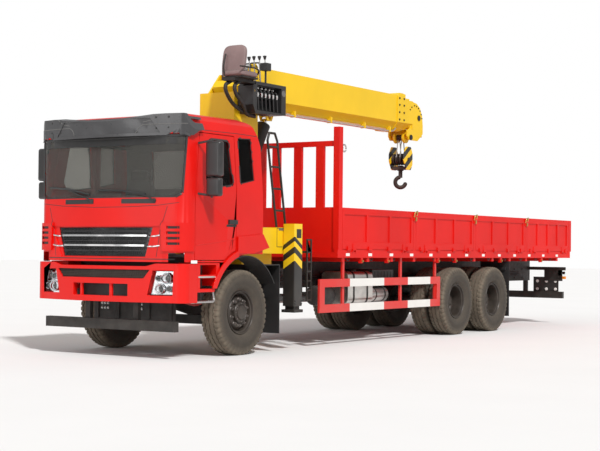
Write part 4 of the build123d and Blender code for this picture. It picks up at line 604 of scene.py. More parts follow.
mirror_black = moulded("mirror_black", (0.022, 0.021, 0.021), 0.36, 220.0, 0.0004, 0.3)
chrome_black = moulded("chrome_black", (0.012, 0.012, 0.013), 0.25, 240.0, 0.0004, 0.4)
black_plastic = moulded("black_plastic", (0.02, 0.019, 0.019), 0.45, 200.0)
mesh_brown = moulded("mesh_brown", (0.04, 0.026, 0.02), 0.5, 240.0)
hose_rubber = moulded("hose_rubber", (0.016, 0.014, 0.014), 0.6, 120.0, 0.0012)
trim_grey = moulded("trim_grey", (0.13, 0.125, 0.12), 0.6)
seat_cloth = moulded("seat_cloth", (0.045, 0.047, 0.055), 0.85, 320.0, 0.002)
seat_vinyl = moulded("seat_vinyl", (0.2, 0.135, 0.13), 0.5, 260.0, 0.0012)
windscreen_glass = clear_glass("windscreen_glass", (0.44, 0.43, 0.4), 0.91, (0.12, 0.115, 0.11))
side_glass = clear_glass("side_glass", (0.26, 0.26, 0.25))
lamp_glass = clear_glass("lamp_glass", (0.93, 0.95, 0.97))
GUARD_RED, GUARD_WHITE, WHITE_PARTS = (0.66, 0.012, 0.008), (0.78, 0.76, 0.72), ((1.08, 2.05), (-0.36, 0.36))
guard_stripes = marked("guard_stripes", GUARD_RED, GUARD_WHITE, WHITE_PARTS)
block_stripes = striped("block_stripes", (0.015, 0.014, 0.013), YELLOW, (0.6, 0.0, 0.8), 0.085, 0.3)
LEG_BANDS = ((0.5, BLACK), (1.2, YELLOW), (1.3, BLACK), (1.383, YELLOW), (1.455, BLACK), (1.517, YELLOW))
leg_left = leg_bands("leg_left", (3.47, 1.2), LEG_BANDS)
leg_right = leg_bands("leg_right", (3.225, 1.2), LEG_BANDS)
reflector_white = lit_plastic("reflector_white", (0.82, 0.8, 0.76))
lamp_amber = lit_plastic("lamp_amber", (0.85, 0.28, 0.03))
lamp_red = lit_plastic("lamp_red", (0.6, 0.02, 0.015))
rubber = tyre_rubber()
wire = twisted_wire()

# The camera: the photograph's view, fitted to the wheels, the bed and the bumper
CAMERA_PLACE = (18.7066, 11.3435, 1.3463)
CAMERA_YAW, CAMERA_PITCH, CAMERA_ROLL = radians(-146.1138), radians(1.0208), radians(0.5692)
FOCAL_PIXELS, IMAGE_WIDTH, SENSOR_MM = 1374.75, 600.0, 36.0
CENTRE_RIGHT, CENTRE_DOWN = -10.62, -0.49
FLOOR_REACH, FLOOR_TONES = 90.0, ((0.8, 0.79, 0.78), (0.84, 0.83, 0.82))
SKY_LIGHT = 0.5
# Lamps: name, strength, spread in degrees, and the direction of the light
LAMPS = (("sun", 2.9, 4.0, (-0.42, -0.6, -0.72)), ("front_fill", 0.6, 40.0, (-0.95, 0.25, -0.25)))
link = bpy.context.scene.collection.objects.link


def add_camera():
    """A camera whose axes come from yaw, pitch and roll; the shift moves the optical centre off the middle."""
    data = bpy.data.cameras.new("photo_view")
    data.sensor_width = SENSOR_MM
    data.lens = FOCAL_PIXELS * SENSOR_MM / IMAGE_WIDTH
    data.shift_x = -CENTRE_RIGHT / IMAGE_WIDTH
    data.shift_y = CENTRE_DOWN / IMAGE_WIDTH
    data.clip_end = 200.0
    level_part, climb = np.cos(CAMERA_PITCH), np.sin(CAMERA_PITCH)
    forward = Vector((level_part * np.cos(CAMERA_YAW), level_part * np.sin(CAMERA_YAW), climb))
    level = forward.cross(Vector((0, 0, 1))).normalized()
    upright = level.cross(forward)
    right = level * np.cos(CAMERA_ROLL) + upright * np.sin(CAMERA_ROLL)
    up = upright * np.cos(CAMERA_ROLL) - level * np.sin(CAMERA_ROLL)
    camera = bpy.data.objects.new("photo_view", data)
    turn = Matrix((right, up, -forward)).transposed().to_4x4()
    camera.matrix_world = Matrix.Translation(CAMERA_PLACE) @ turn
    link(camera)
    bpy.context.scene.camera = camera


def add_stage():
    """A pale floor, under an even pale sky that shows white to the camera and through glass."""
    mesh = bpy.data.meshes.new("studio_floor")
    corners = [(FLOOR_REACH * x, FLOOR_REACH * y, 0) for x, y in ((-1, -1), (1, -1), (1, 1), (-1, 1))]
    mesh.from_pydata(corners, [], [(0, 1, 2, 3)])
    floor = bpy.data.objects.new("studio_floor", mesh)
    link(floor)
    finish = Finish("studio_floor", 0.9, specular=0.1)
    finish.colour(finish.mix(finish.noise(0.6, 3.0), *FLOOR_TONES))
    mesh.materials.append(finish.material)
    world = bpy.data.worlds.new("studio")
    bpy.context.scene.world = world
    world.use_nodes = True
    tree = world.node_tree
    background = tree.nodes["Background"]
    seen = tree.nodes.new("ShaderNodeLightPath")
    either = tree.nodes.new("ShaderNodeMath")
    either.operation = "MAXIMUM"
    tree.links.new(seen.outputs["Is Camera Ray"], either.inputs[0])
    tree.links.new(seen.outputs["Is Transmission Ray"], either.inputs[1])
    share = tree.nodes.new("ShaderNodeMapRange")
    share.inputs["To Min"].default_value = SKY_LIGHT
    share.inputs["To Max"].default_value = 1.0
    tree.links.new(either.outputs[0], share.inputs["Value"])
    tree.links.new(share.outputs["Result"], background.inputs["Strength"])
    background.inputs["Color"].default_value = (1, 1, 1, 1)


def add_lights():
    """A soft sun high on the left front, and a wide weak lamp from the front right."""
    for name, strength, spread, direction in LAMPS:
        lamp = bpy.data.lights.new(name, "SUN")
        lamp.energy = strength
        lamp.angle = radians(spread)
        holder = bpy.data.objects.new(name, lamp)
        holder.rotation_euler = Vector(direction).to_track_quat("-Z", "Y").to_euler()
        link(holder)


add_camera()
add_stage()
add_lights()
bpy.context.scene.view_settings.view_transform = "Standard"

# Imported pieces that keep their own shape: the finish, the slot, how far edges are rounded, and the nodes
for material, slot, bevel, nodes in (
    (chassis_black, "chassis_black", 0.004, "axles"),
    (chassis_black, "chassis_black", 0.003, "frame"),
    (dark_steel, "chassis_black", 0.002, "springs"),
    (dark_steel, "chassis_black", 0.006, "underrun_bars"),
    (engine_grey, "engine_grey", 0.006, "drivetrain"),
    (cab_red, "red_paint", 0.005, "cab_shell"),
    (cab_red, "red_paint", 0.004, "door_left door_right front_fenders"),
    (cab_red, "red_paint", 0.006, "front_bumper cab_steps"),
    (chrome_black, "black_plastic", 0.003, "grille"),
    (visor_grey, "visor_plastic", 0.008, "sun_visor"),
    (mirror_black, "visor_plastic", 0.006, "mirror_left mirror_right"),
    (black_plastic, "rubber", 0.003, "mudguards"),
    (trim_grey, "grey_plastic", 0.01, "cab_dashboard"),
    (bed_red, "red_paint", 0.003, "bed_deck"),
    (bed_red, "red_paint", 0.004, "headboard sides_left sides_right tailgate"),
    (crane_yellow, "yellow_paint", 0.004, "crane_base turret boom_mid boom_tip"),
    (crane_yellow, "yellow_paint", 0.005, "boom_base"),
    (leg_left, "yellow_paint", 0.004, "outrigger_left"),
    (leg_right, "yellow_paint", 0.004, "outrigger_right"),
    (dark_steel, None, 0.004, "jack_left jack_right"),
    (dark_steel, None, 0.003, "knuckle_left knuckle_right"),
    (dark_steel, "steel_black", 0.002, "ladders"),
    (dark_steel, "steel_black", 0.004, "luff_barrel"),
    (chrome, "chrome_rod", 0.002, "luff_rod"),
    (cast_iron, "forged_steel", 0.006, "hook"),
    (black_plastic, "steel_black", 0.003, "operator_console"),
):
    for node in nodes.split():
        edged(node, material, bevel)
for material, nodes in (
    (side_glass, "door_glass_left door_glass_right"),
    (windscreen_glass, "cab_glass"),
    (lamp_glass, "lamps"),
    (guard_stripes, "side_guards"),
    (crane_yellow, "winch"),
):
    for node in nodes.split():
        frame["nodes"][node].data.materials.clear()
        frame["nodes"][node].data.materials.append(material)

# Wheels: tyres with zigzag grooves and notched shoulders, front discs with nuts, and deep rear dishes
TYRE_R, TYRE_HALF_W, TYRE_NODE_W = 0.5422, 0.1455, 0.295
LUGS, LUG_STEPS, NOTCH_STEPS = 46, 6, 2
GROOVE_DEPTH, NOTCH_DEPTH, NOTCH_INSET, SWING = 0.013, 0.012, 0.004, 0.045
NUTS, NUT_CIRCLE_R, STUDS = 10, 0.1675, 8
WEAR_RADII, WEAR = (0.28, 0.4, 0.48, 0.52), (0.35, 0.16, 0.42, 1.0)
# Columns: radius as a share, offset as a share of the half width, groove 0 or 1, notch 0 to 1, zigzag 0 or 1
TYRE_SECTION = np.array([
    (0.512, 0.62, 0, 0, 0), (0.535, 0.72, 0, 0, 0), (0.56, 0.76, 0, 0, 0), (0.575, 0.83, 0, 0, 0),
    (0.62, 0.9, 0, 0, 0), (0.68, 0.97, 0, 0, 0), (0.69, 0.99, 0, 0, 0), (0.74, 1.0, 0, 0, 0),
    (0.8, 1.0, 0, 0, 0), (0.805, 0.985, 0, 0, 0), (0.865, 0.975, 0, 0, 0), (0.87, 0.985, 0, 0.3, 0),
    (0.915, 0.955, 0, 0.7, 0), (0.955, 0.91, 0, 1, 0), (0.978, 0.86, 0, 1, 0), (0.988, 0.8, 0, 1, 0),
    (0.993, 0.66, 0, 1, 0), (0.9955, 0.56, 0, 0.6, 1), (0.996, 0.5, 0, 0, 1), (0.996, 0.49, 1, 0, 1),
    (0.996, 0.42, 1, 0, 1), (0.9965, 0.41, 0, 0, 1), (0.998, 0.24, 0, 0, 1), (1.0, 0.07, 0, 0, 1),
    (1.0, 0.06, 1, 0, 1),
])
# Rim outlines: (radius, offset outwards from the tyre's middle plane)
RIM_LIP = [
    (0.279, 0.088), (0.279, 0.1), (0.274, 0.108), (0.266, 0.108), (0.26, 0.1), (0.257, 0.084), (0.242, 0.074),
    (0.236, 0.05), (0.232, 0.02),
]
RIM_BARREL = [
    (0.232, -0.03), (0.24, -0.06), (0.257, -0.084), (0.26, -0.1), (0.266, -0.108), (0.279, -0.1),
    (0.279, -0.088),
]
FRONT_DISC = RIM_LIP + [
    (0.222, 0.022), (0.206, 0.044), (0.196, 0.06), (0.186, 0.067), (0.148, 0.067), (0.143, 0.062),
    (0.134, 0.062), (0.131, 0.068), (0.129, 0.098), (0.122, 0.106), (0.108, 0.109), (0.104, 0.104),
    (0.096, 0.104), (0.092, 0.11), (0.088, 0.122), (0.07, 0.1245), (0.03, 0.125), (0.0, 0.125),
]
FRONT_HUB = [(0.2, 0.05), (0.2, -0.085), (0.08, -0.09)]
OUTER_DISC = RIM_LIP + [
    (0.232, -0.07), (0.226, -0.1), (0.206, -0.128), (0.196, -0.14), (0.146, -0.14), (0.14, -0.136),
    (0.124, -0.13), (0.12, -0.06), (0.114, -0.045), (0.104, -0.04), (0.1, -0.03), (0.06, -0.026),
    (0.056, -0.014), (0.0, -0.012),
]
INNER_DISC = RIM_LIP + [(0.232, 0.06), (0.226, 0.11), (0.2, 0.135), (0.1, 0.14)]
INNER_HUB = [(0.205, 0.1), (0.205, -0.1), (0.09, -0.11)]


def tyre(centre):
    """Each row of the section goes round: the radius drops in grooves and notches, and groove edges swing
    sideways by a triangle wave of the angle."""
    section = np.vstack([TYRE_SECTION, TYRE_SECTION[::-1] * (1, -1, 1, 1, 1)])
    steps = np.arange(LUGS * LUG_STEPS)
    t = steps[:, None] / len(steps) * TAU
    swing = SWING * (1 - 4 * np.abs(steps[:, None] % LUG_STEPS / LUG_STEPS - 0.5))
    share, offset, groove, notch, zigzag = section.T
    notched = (steps[:, None] % LUG_STEPS < NOTCH_STEPS) * notch
    radius = TYRE_R * share - groove * GROOVE_DEPTH - notched * NOTCH_DEPTH
    along = TYRE_HALF_W * (offset + swing * zigzag) - np.sign(offset) * notched * NOTCH_INSET
    points = np.stack([radius * np.sin(t), along, radius * np.cos(t)], -1)
    return moved(grid_form(points, wrap_rows=True), centre)


def mark_wear(thing, centre):
    """A number at each point, from its distance to the wheel's axis: 1 on the tread, least on the wall."""
    mesh = thing.data
    places = np.empty(len(mesh.vertices) * 3, np.float32)
    mesh.vertices.foreach_get("co", places)
    places = places.reshape(-1, 3)
    radius = np.hypot(places[:, 0] - centre[0], places[:, 2] - centre[2])
    wear = mesh.attributes.new("wear", "FLOAT", "POINT")
    wear.data.foreach_set("value", np.interp(radius, WEAR_RADII, WEAR).astype(np.float32))


def facing(profile, side, centre):
    """A turned outline whose offsets point away from the truck's middle."""
    return turned([(r, offset * side) for r, offset in profile], centre, "Y", 64)


def ringed(form, centre, radius, offset, count, side, start=0.0):
    """Copies of the form on a circle round the Y axis through centre, facing outwards."""
    flat = around(radius, count, start)
    places = np.insert(flat, 1, side * offset, axis=1) + centre
    return copies(form, places, (0, side, 0))


def dress_wheel(place, words, centres, rims, fixings, steel):
    """Treads, rims and nuts of one body. The words begin the names of the body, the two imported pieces, and the
    rims in their place."""
    body, tyre_node, rim_node, rim_piece = (f"{word}_{place}" for word in words)
    tread = piece(f"{tyre_node}_tread", [tyre(centre) for centre in centres], body, rubber, 45,
                  replaces=tyre_node)
    mark_wear(tread, centres[0])
    piece(rim_piece, rims, body, rim_brown, 35, replaces=rim_node)
    piece(f"nuts_{place}", fixings, body, steel, 35)


for side_name, side in SIDES:
    centre = np.array(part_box(f"tyre_front_{side_name}")).mean(0)
    rims = [facing(outline, side, centre) for outline in (FRONT_DISC, RIM_BARREL, FRONT_HUB)]
    nuts = ringed(nut(0.034, 0.036), centre, NUT_CIRCLE_R, 0.067, NUTS, side, 0.3)
    studs = ringed(bolt(0.016, 0.008), centre, 0.114, 0.107, STUDS, side)
    place, words = f"front_{side_name}", ("wheel", "tyre", "rim", "disc")
    dress_wheel(place, words, [centre], rims, [nuts, studs], nut_steel)
    for number in (1, 2):
        place = f"rear_{number}_{side_name}"
        box = np.array(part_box(f"tyres_{place}"))
        shift = np.array([0, side * (np.ptp(box[:, 1]) - TYRE_NODE_W) / 2, 0])
        outer, inner = box.mean(0) + shift, box.mean(0) - shift
        rims = [facing(outline, side, outer) for outline in (OUTER_DISC, RIM_BARREL)]
        rims += [facing(outline, side, inner) for outline in (INNER_DISC, RIM_BARREL, INNER_HUB)]
        nuts = ringed(nut(0.034, 0.05), outer, NUT_CIRCLE_R, -0.14, NUTS, side, 0.2)
        studs = ringed(bolt(0.02, 0.012), outer, 0.088, -0.032, STUDS, side)
        words = ("wheels", "tyres", "rims", "dishes")
        dress_wheel(place, words, [outer, inner], rims, [nuts, studs], rim_brown)


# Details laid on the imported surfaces: rays along one axis find where a flat outline meets them
SKINS = {}
FAR, X, Y = 9.0, 0, 1
AXES = np.eye(3)


def skin(nodes):
    """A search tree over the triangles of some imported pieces."""
    if nodes not in SKINS:
        corners, faces = [], []
        for node in nodes:
            mesh = frame["nodes"][node].data
            start = len(corners)
            corners += [tuple(vertex.co) for vertex in mesh.vertices]
            faces += [tuple(start + index for index in polygon.vertices) for polygon in mesh.polygons]
        SKINS[nodes] = BVHTree.FromPolygons(corners, faces)
    return SKINS[nodes]


def laid(nodes, flat, axis, side=1, lift=0.0):
    """Points on the surface seen from far along the axis, moved back towards the eye by lift. A point that
    meets nothing takes the depth of the one before."""
    flat = np.array(flat, float)
    points = np.insert(flat.reshape(-1, 2), axis, FAR * side, axis=1)
    depth = 0.0
    for point in points:
        hit = skin(nodes).ray_cast(Vector(point), Vector(-side * AXES[axis]))[0]
        depth = hit[axis] if hit else depth
        point[axis] = depth + side * lift
    return points.reshape(*flat.shape[:-1], 3)


def fine(points, step=0.03, closed=False):
    """The same broken line with points no further apart than step."""
    points = np.array(points, float)
    if closed:
        points = np.vstack([points, points[:1]])
    spans = np.linalg.norm(np.diff(points, axis=0), axis=1)
    place = np.insert(np.cumsum(spans), 0, 0)
    stops = np.unique(np.concatenate([np.linspace(0, place[-1], int(place[-1] / step) + 2), place]))
    return np.stack([np.interp(stops, place, column) for column in points.T], -1)[:-1 if closed else None]


def ribbon(nodes, flat, axis, width, height, side=1, closed=False):
    """A low rounded strip along a flat line laid on the surface."""
    path = laid(nodes, fine(flat, closed=closed), axis, side)
    w, h = width / 2, height
    profile = [(-w, -0.001), (w, -0.001), (w, 0.6 * h), (0.6 * w, h), (-0.6 * w, h), (-w, 0.6 * h)]
    return swept(path, profile, side * AXES[axis], closed)


def rect(a0, b0, a1, b1):
    """The four corners of a flat rectangle."""
    return [(a0, b0), (a1, b0), (a1, b1), (a0, b1)]


def patch(corners, rows, cols):
    """Rows x cols flat points spread evenly between four corners."""
    a, b, c, d = np.array(corners, float)
    u, v = np.linspace(0, 1, rows)[:, None, None], np.linspace(0, 1, cols)[None, :, None]
    return (a * (1 - u) + d * u) * (1 - v) + (b * (1 - u) + c * u) * v


def shell_between(front, back):
    """A closed sheet between two equal grids of points."""
    ring = np.concatenate([front, back[:, ::-1]], 1)
    ends = [np.stack([front[row], back[row]]) for row in (0, -1)]
    return joined([grid_form(ring, wrap_cols=True)] + [grid_form(end) for end in ends])


def slab(nodes, corners, axis, side=1, out=0.001, inward=0.001, rows=3, cols=12):
    """A thin closed sheet over a four-cornered patch of the surface."""
    flat = patch(corners, rows, cols)
    return shell_between(laid(nodes, flat, axis, side, out), laid(nodes, flat, axis, side, -inward))


def fixed_on(form, nodes, flat, axis, side=1, lift=0.0):
    """Copies of the form that stand on the surface at flat places."""
    return copies(form, laid(nodes, flat, axis, side, lift), side * AXES[axis])


HEX_ROW, HEX_R = 0.866, 0.577


def honeycomb(corners, pitch, wire_width, depth, nodes, lift, at_z=None):
    """Six-sided rings side by side over a four-cornered patch of the front, each a turned ring of the wire's
    width. They take their depths at their own heights, or all at the height at_z."""
    a, b, c, d = np.array(corners, float)
    low_z, high_z = a[1], c[1]
    rows = int((high_z - low_z) / (pitch * HEX_ROW)) + 1
    places = []
    for row in range(rows):
        share = (row + 0.5) / rows
        y0 = a[0] + (d[0] - a[0]) * share + pitch / 2
        y1 = b[0] + (c[0] - b[0]) * share - pitch / 2
        ys = np.arange(y0 + row % 2 * pitch / 2, y1, pitch)
        places += [(y, low_z + share * (high_z - low_z)) for y in ys]
    points = laid(nodes, [(y, at_z or z) for y, z in places], X, 1, lift)
    points[:, 2] = np.array(places)[:, 1]
    outer = pitch * HEX_R
    ring = [(outer, 0), (outer, depth), (outer - wire_width, depth), (outer - wire_width, 0)]
    points_of_ring, faces = turned(ring, axis="Z", sides=6)
    turn = np.array([[HEX_ROW, 0.5, 0], [-0.5, HEX_ROW, 0], [0, 0, 1]])
    return copies((points_of_ring @ turn, faces), points, AXES[X])


# Cab front: windscreen, wipers, seams, grille, bumper and lamps.
# Flat places on the front are (Y, Z), and on a side (X, Z).
SHELL, GRILLE = ("cab_shell", "cab_glass"), ("grille",)
BUMPER, VISOR = ("front_bumper", "lamps"), ("sun_visor",)
SCREEN = [(-1.13, 2.01), (-1.05, 1.957), (1.05, 1.957), (1.13, 2.01), (1.162, 2.7), (-1.162, 2.7)]
screen = [
    ribbon(SHELL, rounded_outline(SCREEN, 0.035), X, 0.03, 0.007, closed=True),
    slab(SHELL, [(-1.13, 2.6), (1.13, 2.6), (1.14, 2.69), (-1.14, 2.69)], X, out=0.0015, cols=30),
]
# The two dark patches below the windscreen are painted shade of the wiper recesses; the rubber round the glass
# and its top band are real trim
screen += [slab(SHELL, rect(y0, 1.885, y1, 1.942), X, out=0.002, cols=10)
           for y0, y1 in ((-0.63, -0.12), (0.32, 0.8))]
piece("windscreen_trim_and_recess_shade", screen, "chassis", black_plastic, 50)

BLADE = [(-0.01, -0.008), (0.01, -0.008), (0.012, 0.006), (0, 0.016), (-0.012, 0.006)]
WIPER_FOOT = [(0, 0), (0.03, 0), (0.028, 0.018), (0.016, 0.026), (0.014, 0.027), (0, 0.028)]
wipers = []
for arm, blade in (
    ([(-0.15, 1.93), (-0.38, 2.0), (-0.55, 2.06)], [(-0.2, 2.0), (-0.56, 2.075), (-0.95, 2.1)]),
    ([(0.78, 1.93), (0.66, 1.985), (0.35, 2.03)], [(0.66, 2.0), (0.34, 2.04), (-0.06, 2.05)]),
):
    wipers.append(pipe(laid(SHELL, fine(arm, 0.06), X, 1, 0.0165), 0.0075, 8))
    wipers.append(swept(laid(SHELL, fine(blade, 0.06), X, 1, 0.011), BLADE, AXES[X]))
    foot = laid(SHELL, [(arm[0][0], 1.92)], X, 1, -0.01)[0]
    wipers.append(turned(WIPER_FOOT, foot, "X", 16))
piece("wipers", wipers, "chassis", black_plastic)

NOSE_SEAM = [(-1.1, 1.9), (-0.69, 1.866), (-0.09, 1.842), (0.41, 1.845), (0.83, 1.862), (1.1, 1.895)]
seams = [
    ribbon(SHELL, NOSE_SEAM, X, 0.006, 0.0015),
    ribbon(SHELL, [(-1.08, 1.215), (1.08, 1.215)], X, 0.01, 0.0015),
]
for side in (1, -1):
    slant = [(side * 0.956, 1.85), (side * 0.866, 1.566), (side * 0.818, 1.24)]
    seams.append(ribbon(SHELL, slant, X, 0.007, 0.0015))
    seams.append(ribbon(SHELL, [(5.45, 2.788), (4.7, 2.795), (4.33, 2.79)], Y, 0.007, 0.0015, side))
piece("panel_seams", seams, "chassis", black_plastic, 50)

GRILLE_MESH = [(-0.645, 1.252), (0.645, 1.252), (0.745, 1.588), (-0.745, 1.588)]
BUMPER_MESH = [(-0.655, 0.984), (0.655, 0.984), (0.738, 1.081), (-0.738, 1.081)]
mesh_rings = honeycomb(GRILLE_MESH, 0.027, 0.0035, 0.006, GRILLE, 0.004, 1.345)
piece("grille_mesh", mesh_rings, "chassis", chrome_black, 30)
bars = [slab(GRILLE, rect(-reach, z, reach, z + 0.022), X, out=0.004, cols=40)
        for z, reach in ((1.366, 0.652), (1.486, 0.684))]
piece("grille_bars_bright", bars, "chassis", chrome, 60)
BAR_ENDS = ([(0.67, 1.367), (0.78, 1.367), (0.865, 1.379)], [(0.67, 1.487), (0.78, 1.491), (0.865, 1.503)])
bar_ends = [ribbon(SHELL, [(side * y, z) for y, z in line], X, 0.02, 0.012)
            for side in (1, -1) for line in BAR_ENDS]
piece("grille_bar_ends", bar_ends, "chassis", chrome, 60)
piece("bumper_mesh_back", slab(BUMPER, BUMPER_MESH, X, cols=40), "chassis", mesh_brown, 60)
mesh_rings = honeycomb(BUMPER_MESH, 0.026, 0.004, 0.008, BUMPER, 0.001)
piece("bumper_mesh", mesh_rings, "chassis", mesh_brown, 30)
piece("bumper_slot_back", boxes((5.79, -0.5, 0.72), (5.8, 0.5, 0.95)), "chassis", black_plastic)
slot_bolts = fixed_on(bolt(0.02, 0.01), BUMPER, list(product((-0.2, 0.02), (0.74, 0.932))), X, 1, -0.012)
piece("bumper_bolts", slot_bolts, "chassis", cab_red)

# Lamps: (Y, Z) and radius of each bowl, with its outline and its dome's outline in shares of the radius
LAMP_BOWLS = (((0.86, 0.86), 0.062), ((0.95, 0.985), 0.068), ((0.845, 0.985), 0.04), ((0.985, 0.86), 0.04))
BOWL = ((0.2, 0), (0.55, 0.006), (0.85, 0.022), (1, 0.042), (1.06, 0.042), (1.06, 0))
DOME = ((0, 0.03), (0.3, 0.026), (0.5, 0.01), (0.5, 0))
LAMP_CORNERS = ((0.725, 0.79), (1.035, 0.792), (1.045, 1.068), (0.792, 1.068))
louvres, lamp_chrome, lamp_domes = [], [], []
for side in (1, -1):
    louvres += [slab(("cab_shell",), rect(side * 0.968, z, side * 1.112, z + 0.028), X, out=0.002, cols=4)
                for z in (1.388, 1.453, 1.518, 1.583)]
    flat = patch([(side * y, z) for y, z in LAMP_CORNERS], 5, 9)
    lamp_chrome.append(shell_between(laid(BUMPER, flat, X, 1, -0.062), laid(BUMPER, flat, X, 1, -0.066)))
    for (y, z), radius in LAMP_BOWLS:
        centre = laid(BUMPER, [(side * y, z)], X, 1, -0.058)[0]
        lamp_chrome.append(turned([(r * radius, depth) for r, depth in BOWL], centre, "X", 24))
        lamp_domes.append(turned([(r * radius, depth) for r, depth in DOME], centre, "X", 18))
piece("louvre_shadows", louvres, "chassis", black_plastic, 50)
piece("lamp_reflectors", lamp_chrome, "chassis", chrome)
piece("lamp_lenses", lamp_domes, "chassis", trim_grey)

# Dark apron behind the bumper, with groups of bolts
apron = [boxes((5.3, -1.06, 0.7), (5.34, 1.06, 1.235)), boxes((5.3, -0.66, 0.42), (5.34, 0.66, 0.71))]
apron += [boxes((5.335, y - 0.03, 0.45), (5.36, y + 0.03, 0.86)) for y in (-0.6, -0.25, 0.25, 0.6)]
piece("front_apron", apron, "chassis", chassis_black, 30, 0.004)
groups = [(5.34, y + dy, z + dz)
          for y, z, dy, dz in product((-0.47, 0.09), (0.61, 0.72), (-0.05, 0.0, 0.05), (-0.03, 0.03))]
piece("apron_bolts", copies(bolt(0.024, 0.014), groups, AXES[X]), "chassis", bright_steel)

# Sun visor: its corners, the seams of its raised ends, and small screws
VISOR_CORNER = ((0.93, 2.691), (1.2, 2.691), (1.2, 2.84), (0.93, 2.79))
VISOR_SEAMS = (
    [(1.18, 2.842), (0.6, 2.842), (0.545, 2.812), (0.5, 2.74)],
    [(0.82, 2.955), (0.72, 2.892), (0.6, 2.872)],
)
corners = [slab(("cab_shell", "sun_visor"), [(side * y, z) for y, z in VISOR_CORNER], X, 1, 0.005, 0.004, 8, 40)
           for side in (1, -1)]
piece("visor_corners", corners, "chassis", visor_grey, 60)
lines = [ribbon(VISOR, [(side * y, z) for y, z in line], X, 0.008, 0.003)
         for side in (1, -1) for line in VISOR_SEAMS]
piece("visor_seams", lines, "chassis", trim_grey, 50)
screws = fixed_on(bolt(0.018, 0.007), VISOR, list(product((-0.78, 0.78, -0.95, 0.95), (2.795, 2.925))), X)
piece("visor_screws", screws, "chassis", black_plastic)

# Sides of the cab: window rubbers, creases, handle covers, mirrors' glass, grips and steps
DOOR_PANE = [(5.33, 2.08), (5.42, 2.19), (5.33, 2.69), (4.93, 2.69), (4.85, 2.14)]
QUARTER_PANE = [(4.707, 2.158), (4.735, 2.74), (4.45, 2.752), (4.398, 2.218)]
for side_name, side in SIDES:
    door, body = (f"door_{side_name}", f"door_glass_{side_name}"), f"door_{side_name}"
    handle = np.sort([(4.792, side * 1.1995, 1.652), (4.968, side * 1.2245, 1.708)], axis=0)
    trim = [ribbon(door, rounded_outline(DOOR_PANE, 0.03), Y, 0.024, 0.006, side, True), boxes(*handle)]
    trim.append(slab(door, rect(4.8, 1.62, 5.0, 1.648), Y, side, cols=3))
    piece(f"door_trim_{side_name}", trim, body, black_plastic, 50)
    crease = ribbon(door, [(5.61, 1.39), (5.2, 1.43), (4.82, 1.475)], Y, 0.016, 0.004, side)
    piece(f"door_crease_{side_name}", crease, body, cab_red, 60)
    faces = [slab((f"mirror_{side_name}",), rect(side * 1.3, z0, side * 1.47, z1), X, -1, 0.0015, cols=3)
             for z0, z1 in ((2.26, 2.6), (2.01, 2.17))]
    piece(f"mirror_glass_{side_name}", faces, body, chrome, 50)
quarter = ribbon(SHELL, rounded_outline(QUARTER_PANE, 0.025), Y, 0.022, 0.005, closed=True)
piece("quarter_rubbers", both_sides(quarter), "chassis", black_plastic, 50)
step = tube([(5.7, 1.16, 0.82), (5.7, 1.185, 0.7), (5.22, 1.185, 0.7), (5.22, 1.16, 0.82)], 0.04, 0.016, 12)
piece("step_tubes", both_sides(step), "chassis", bright_steel, 50)
step_edge = boxes((5.2, 1.185, 0.992), (5.56, 1.203, 1.012))
piece("step_edges", both_sides(step_edge), "chassis", aluminium, 50)
marker = boxes((5.6, 1.2, 1.166), (5.71, 1.214, 1.204))
piece("marker_lamps", both_sides(marker), "chassis", reflector_white, 50, 0.003)


def pillow(low_corner, high_corner, power=0.35):
    """A stuffed box: each coordinate is the half size times a cosine or sine drawn towards 1 by the power."""
    low_corner, high_corner = np.array(low_corner, float), np.array(high_corner, float)
    u = np.linspace(-np.pi / 2, np.pi / 2, 24)[:, None]
    v = np.arange(36)[None, :] / 36 * TAU

    def drawn(value, share):
        """The value's size to a power, with its sign kept."""
        return np.sign(value) * np.abs(value) ** share

    x = drawn(np.cos(u), power * 1.6) * drawn(np.cos(v), power)
    y = drawn(np.cos(u), power * 1.6) * drawn(np.sin(v), power)
    z = drawn(np.sin(u), power * 1.6) + 0 * v
    half = (high_corner - low_corner) / 2
    return moved(grid_form(np.stack([x, y, z], -1) * half, wrap_cols=True), (low_corner + high_corner) / 2)


def tilted(form, centre, degrees):
    """The form turned about the Y axis through a point."""
    angle = radians(degrees)
    turn = np.array([[np.cos(angle), 0, np.sin(angle)], [0, 1, 0], [-np.sin(angle), 0, np.cos(angle)]])
    return (form[0] - centre) @ turn.T + centre, form[1]


# Operator's station: thin levers, hanging pipes with bright sleeves, hoses, a padded seat on its bracket
CONSOLE = ("operator_console",)
KNOB = [(0, -0.04), (0.012, -0.036), (0.026, 0.006), (0.024, 0.018), (0, 0.022)]
SLEEVE = [(0, 0), (0.019, 0), (0.019, 0.035), (0.015, 0.04), (0.015, 0.06), (0, 0.06)]
FITTING = [(0, 0), (0.03, 0), (0.03, 0.03), (0.02, 0.035), (0.02, 0.06), (0, 0.06)]
PORT = [(0, 0), (0.045, 0), (0.045, 0.004), (0.036, 0.006), (0.03, 0.001), (0, 0.001)]
bright, knobs = [], []
for x, z in ((3.125, 4.01), (3.255, 3.99), (3.385, 3.972), (3.5, 3.95)):
    start, end = np.array([x - 0.035, 0.44, 3.62]), np.array([x, 0.44, z])
    bright.append(rod(start, end, 0.0082))
    knobs.append(turned_along(KNOB, end, end - start))
dark = [boxes((2.93, 0.36, 3.575), (3.47, 0.5, 3.64))]
for x in np.linspace(3.42, 2.96, 6):
    dark.append(tube([(x, 0.45, 3.53), (x, 0.53, 3.52), (x - 0.02, 0.535, 3.25)], 0.04, 0.012))
    bright.append(turned_along(SLEEVE, (x, 0.532, 3.485), (-0.03, 0, -1)))
    bright.append(copies(bolt(0.036, 0.022), (x, 0.46, 3.56), AXES[Y]))
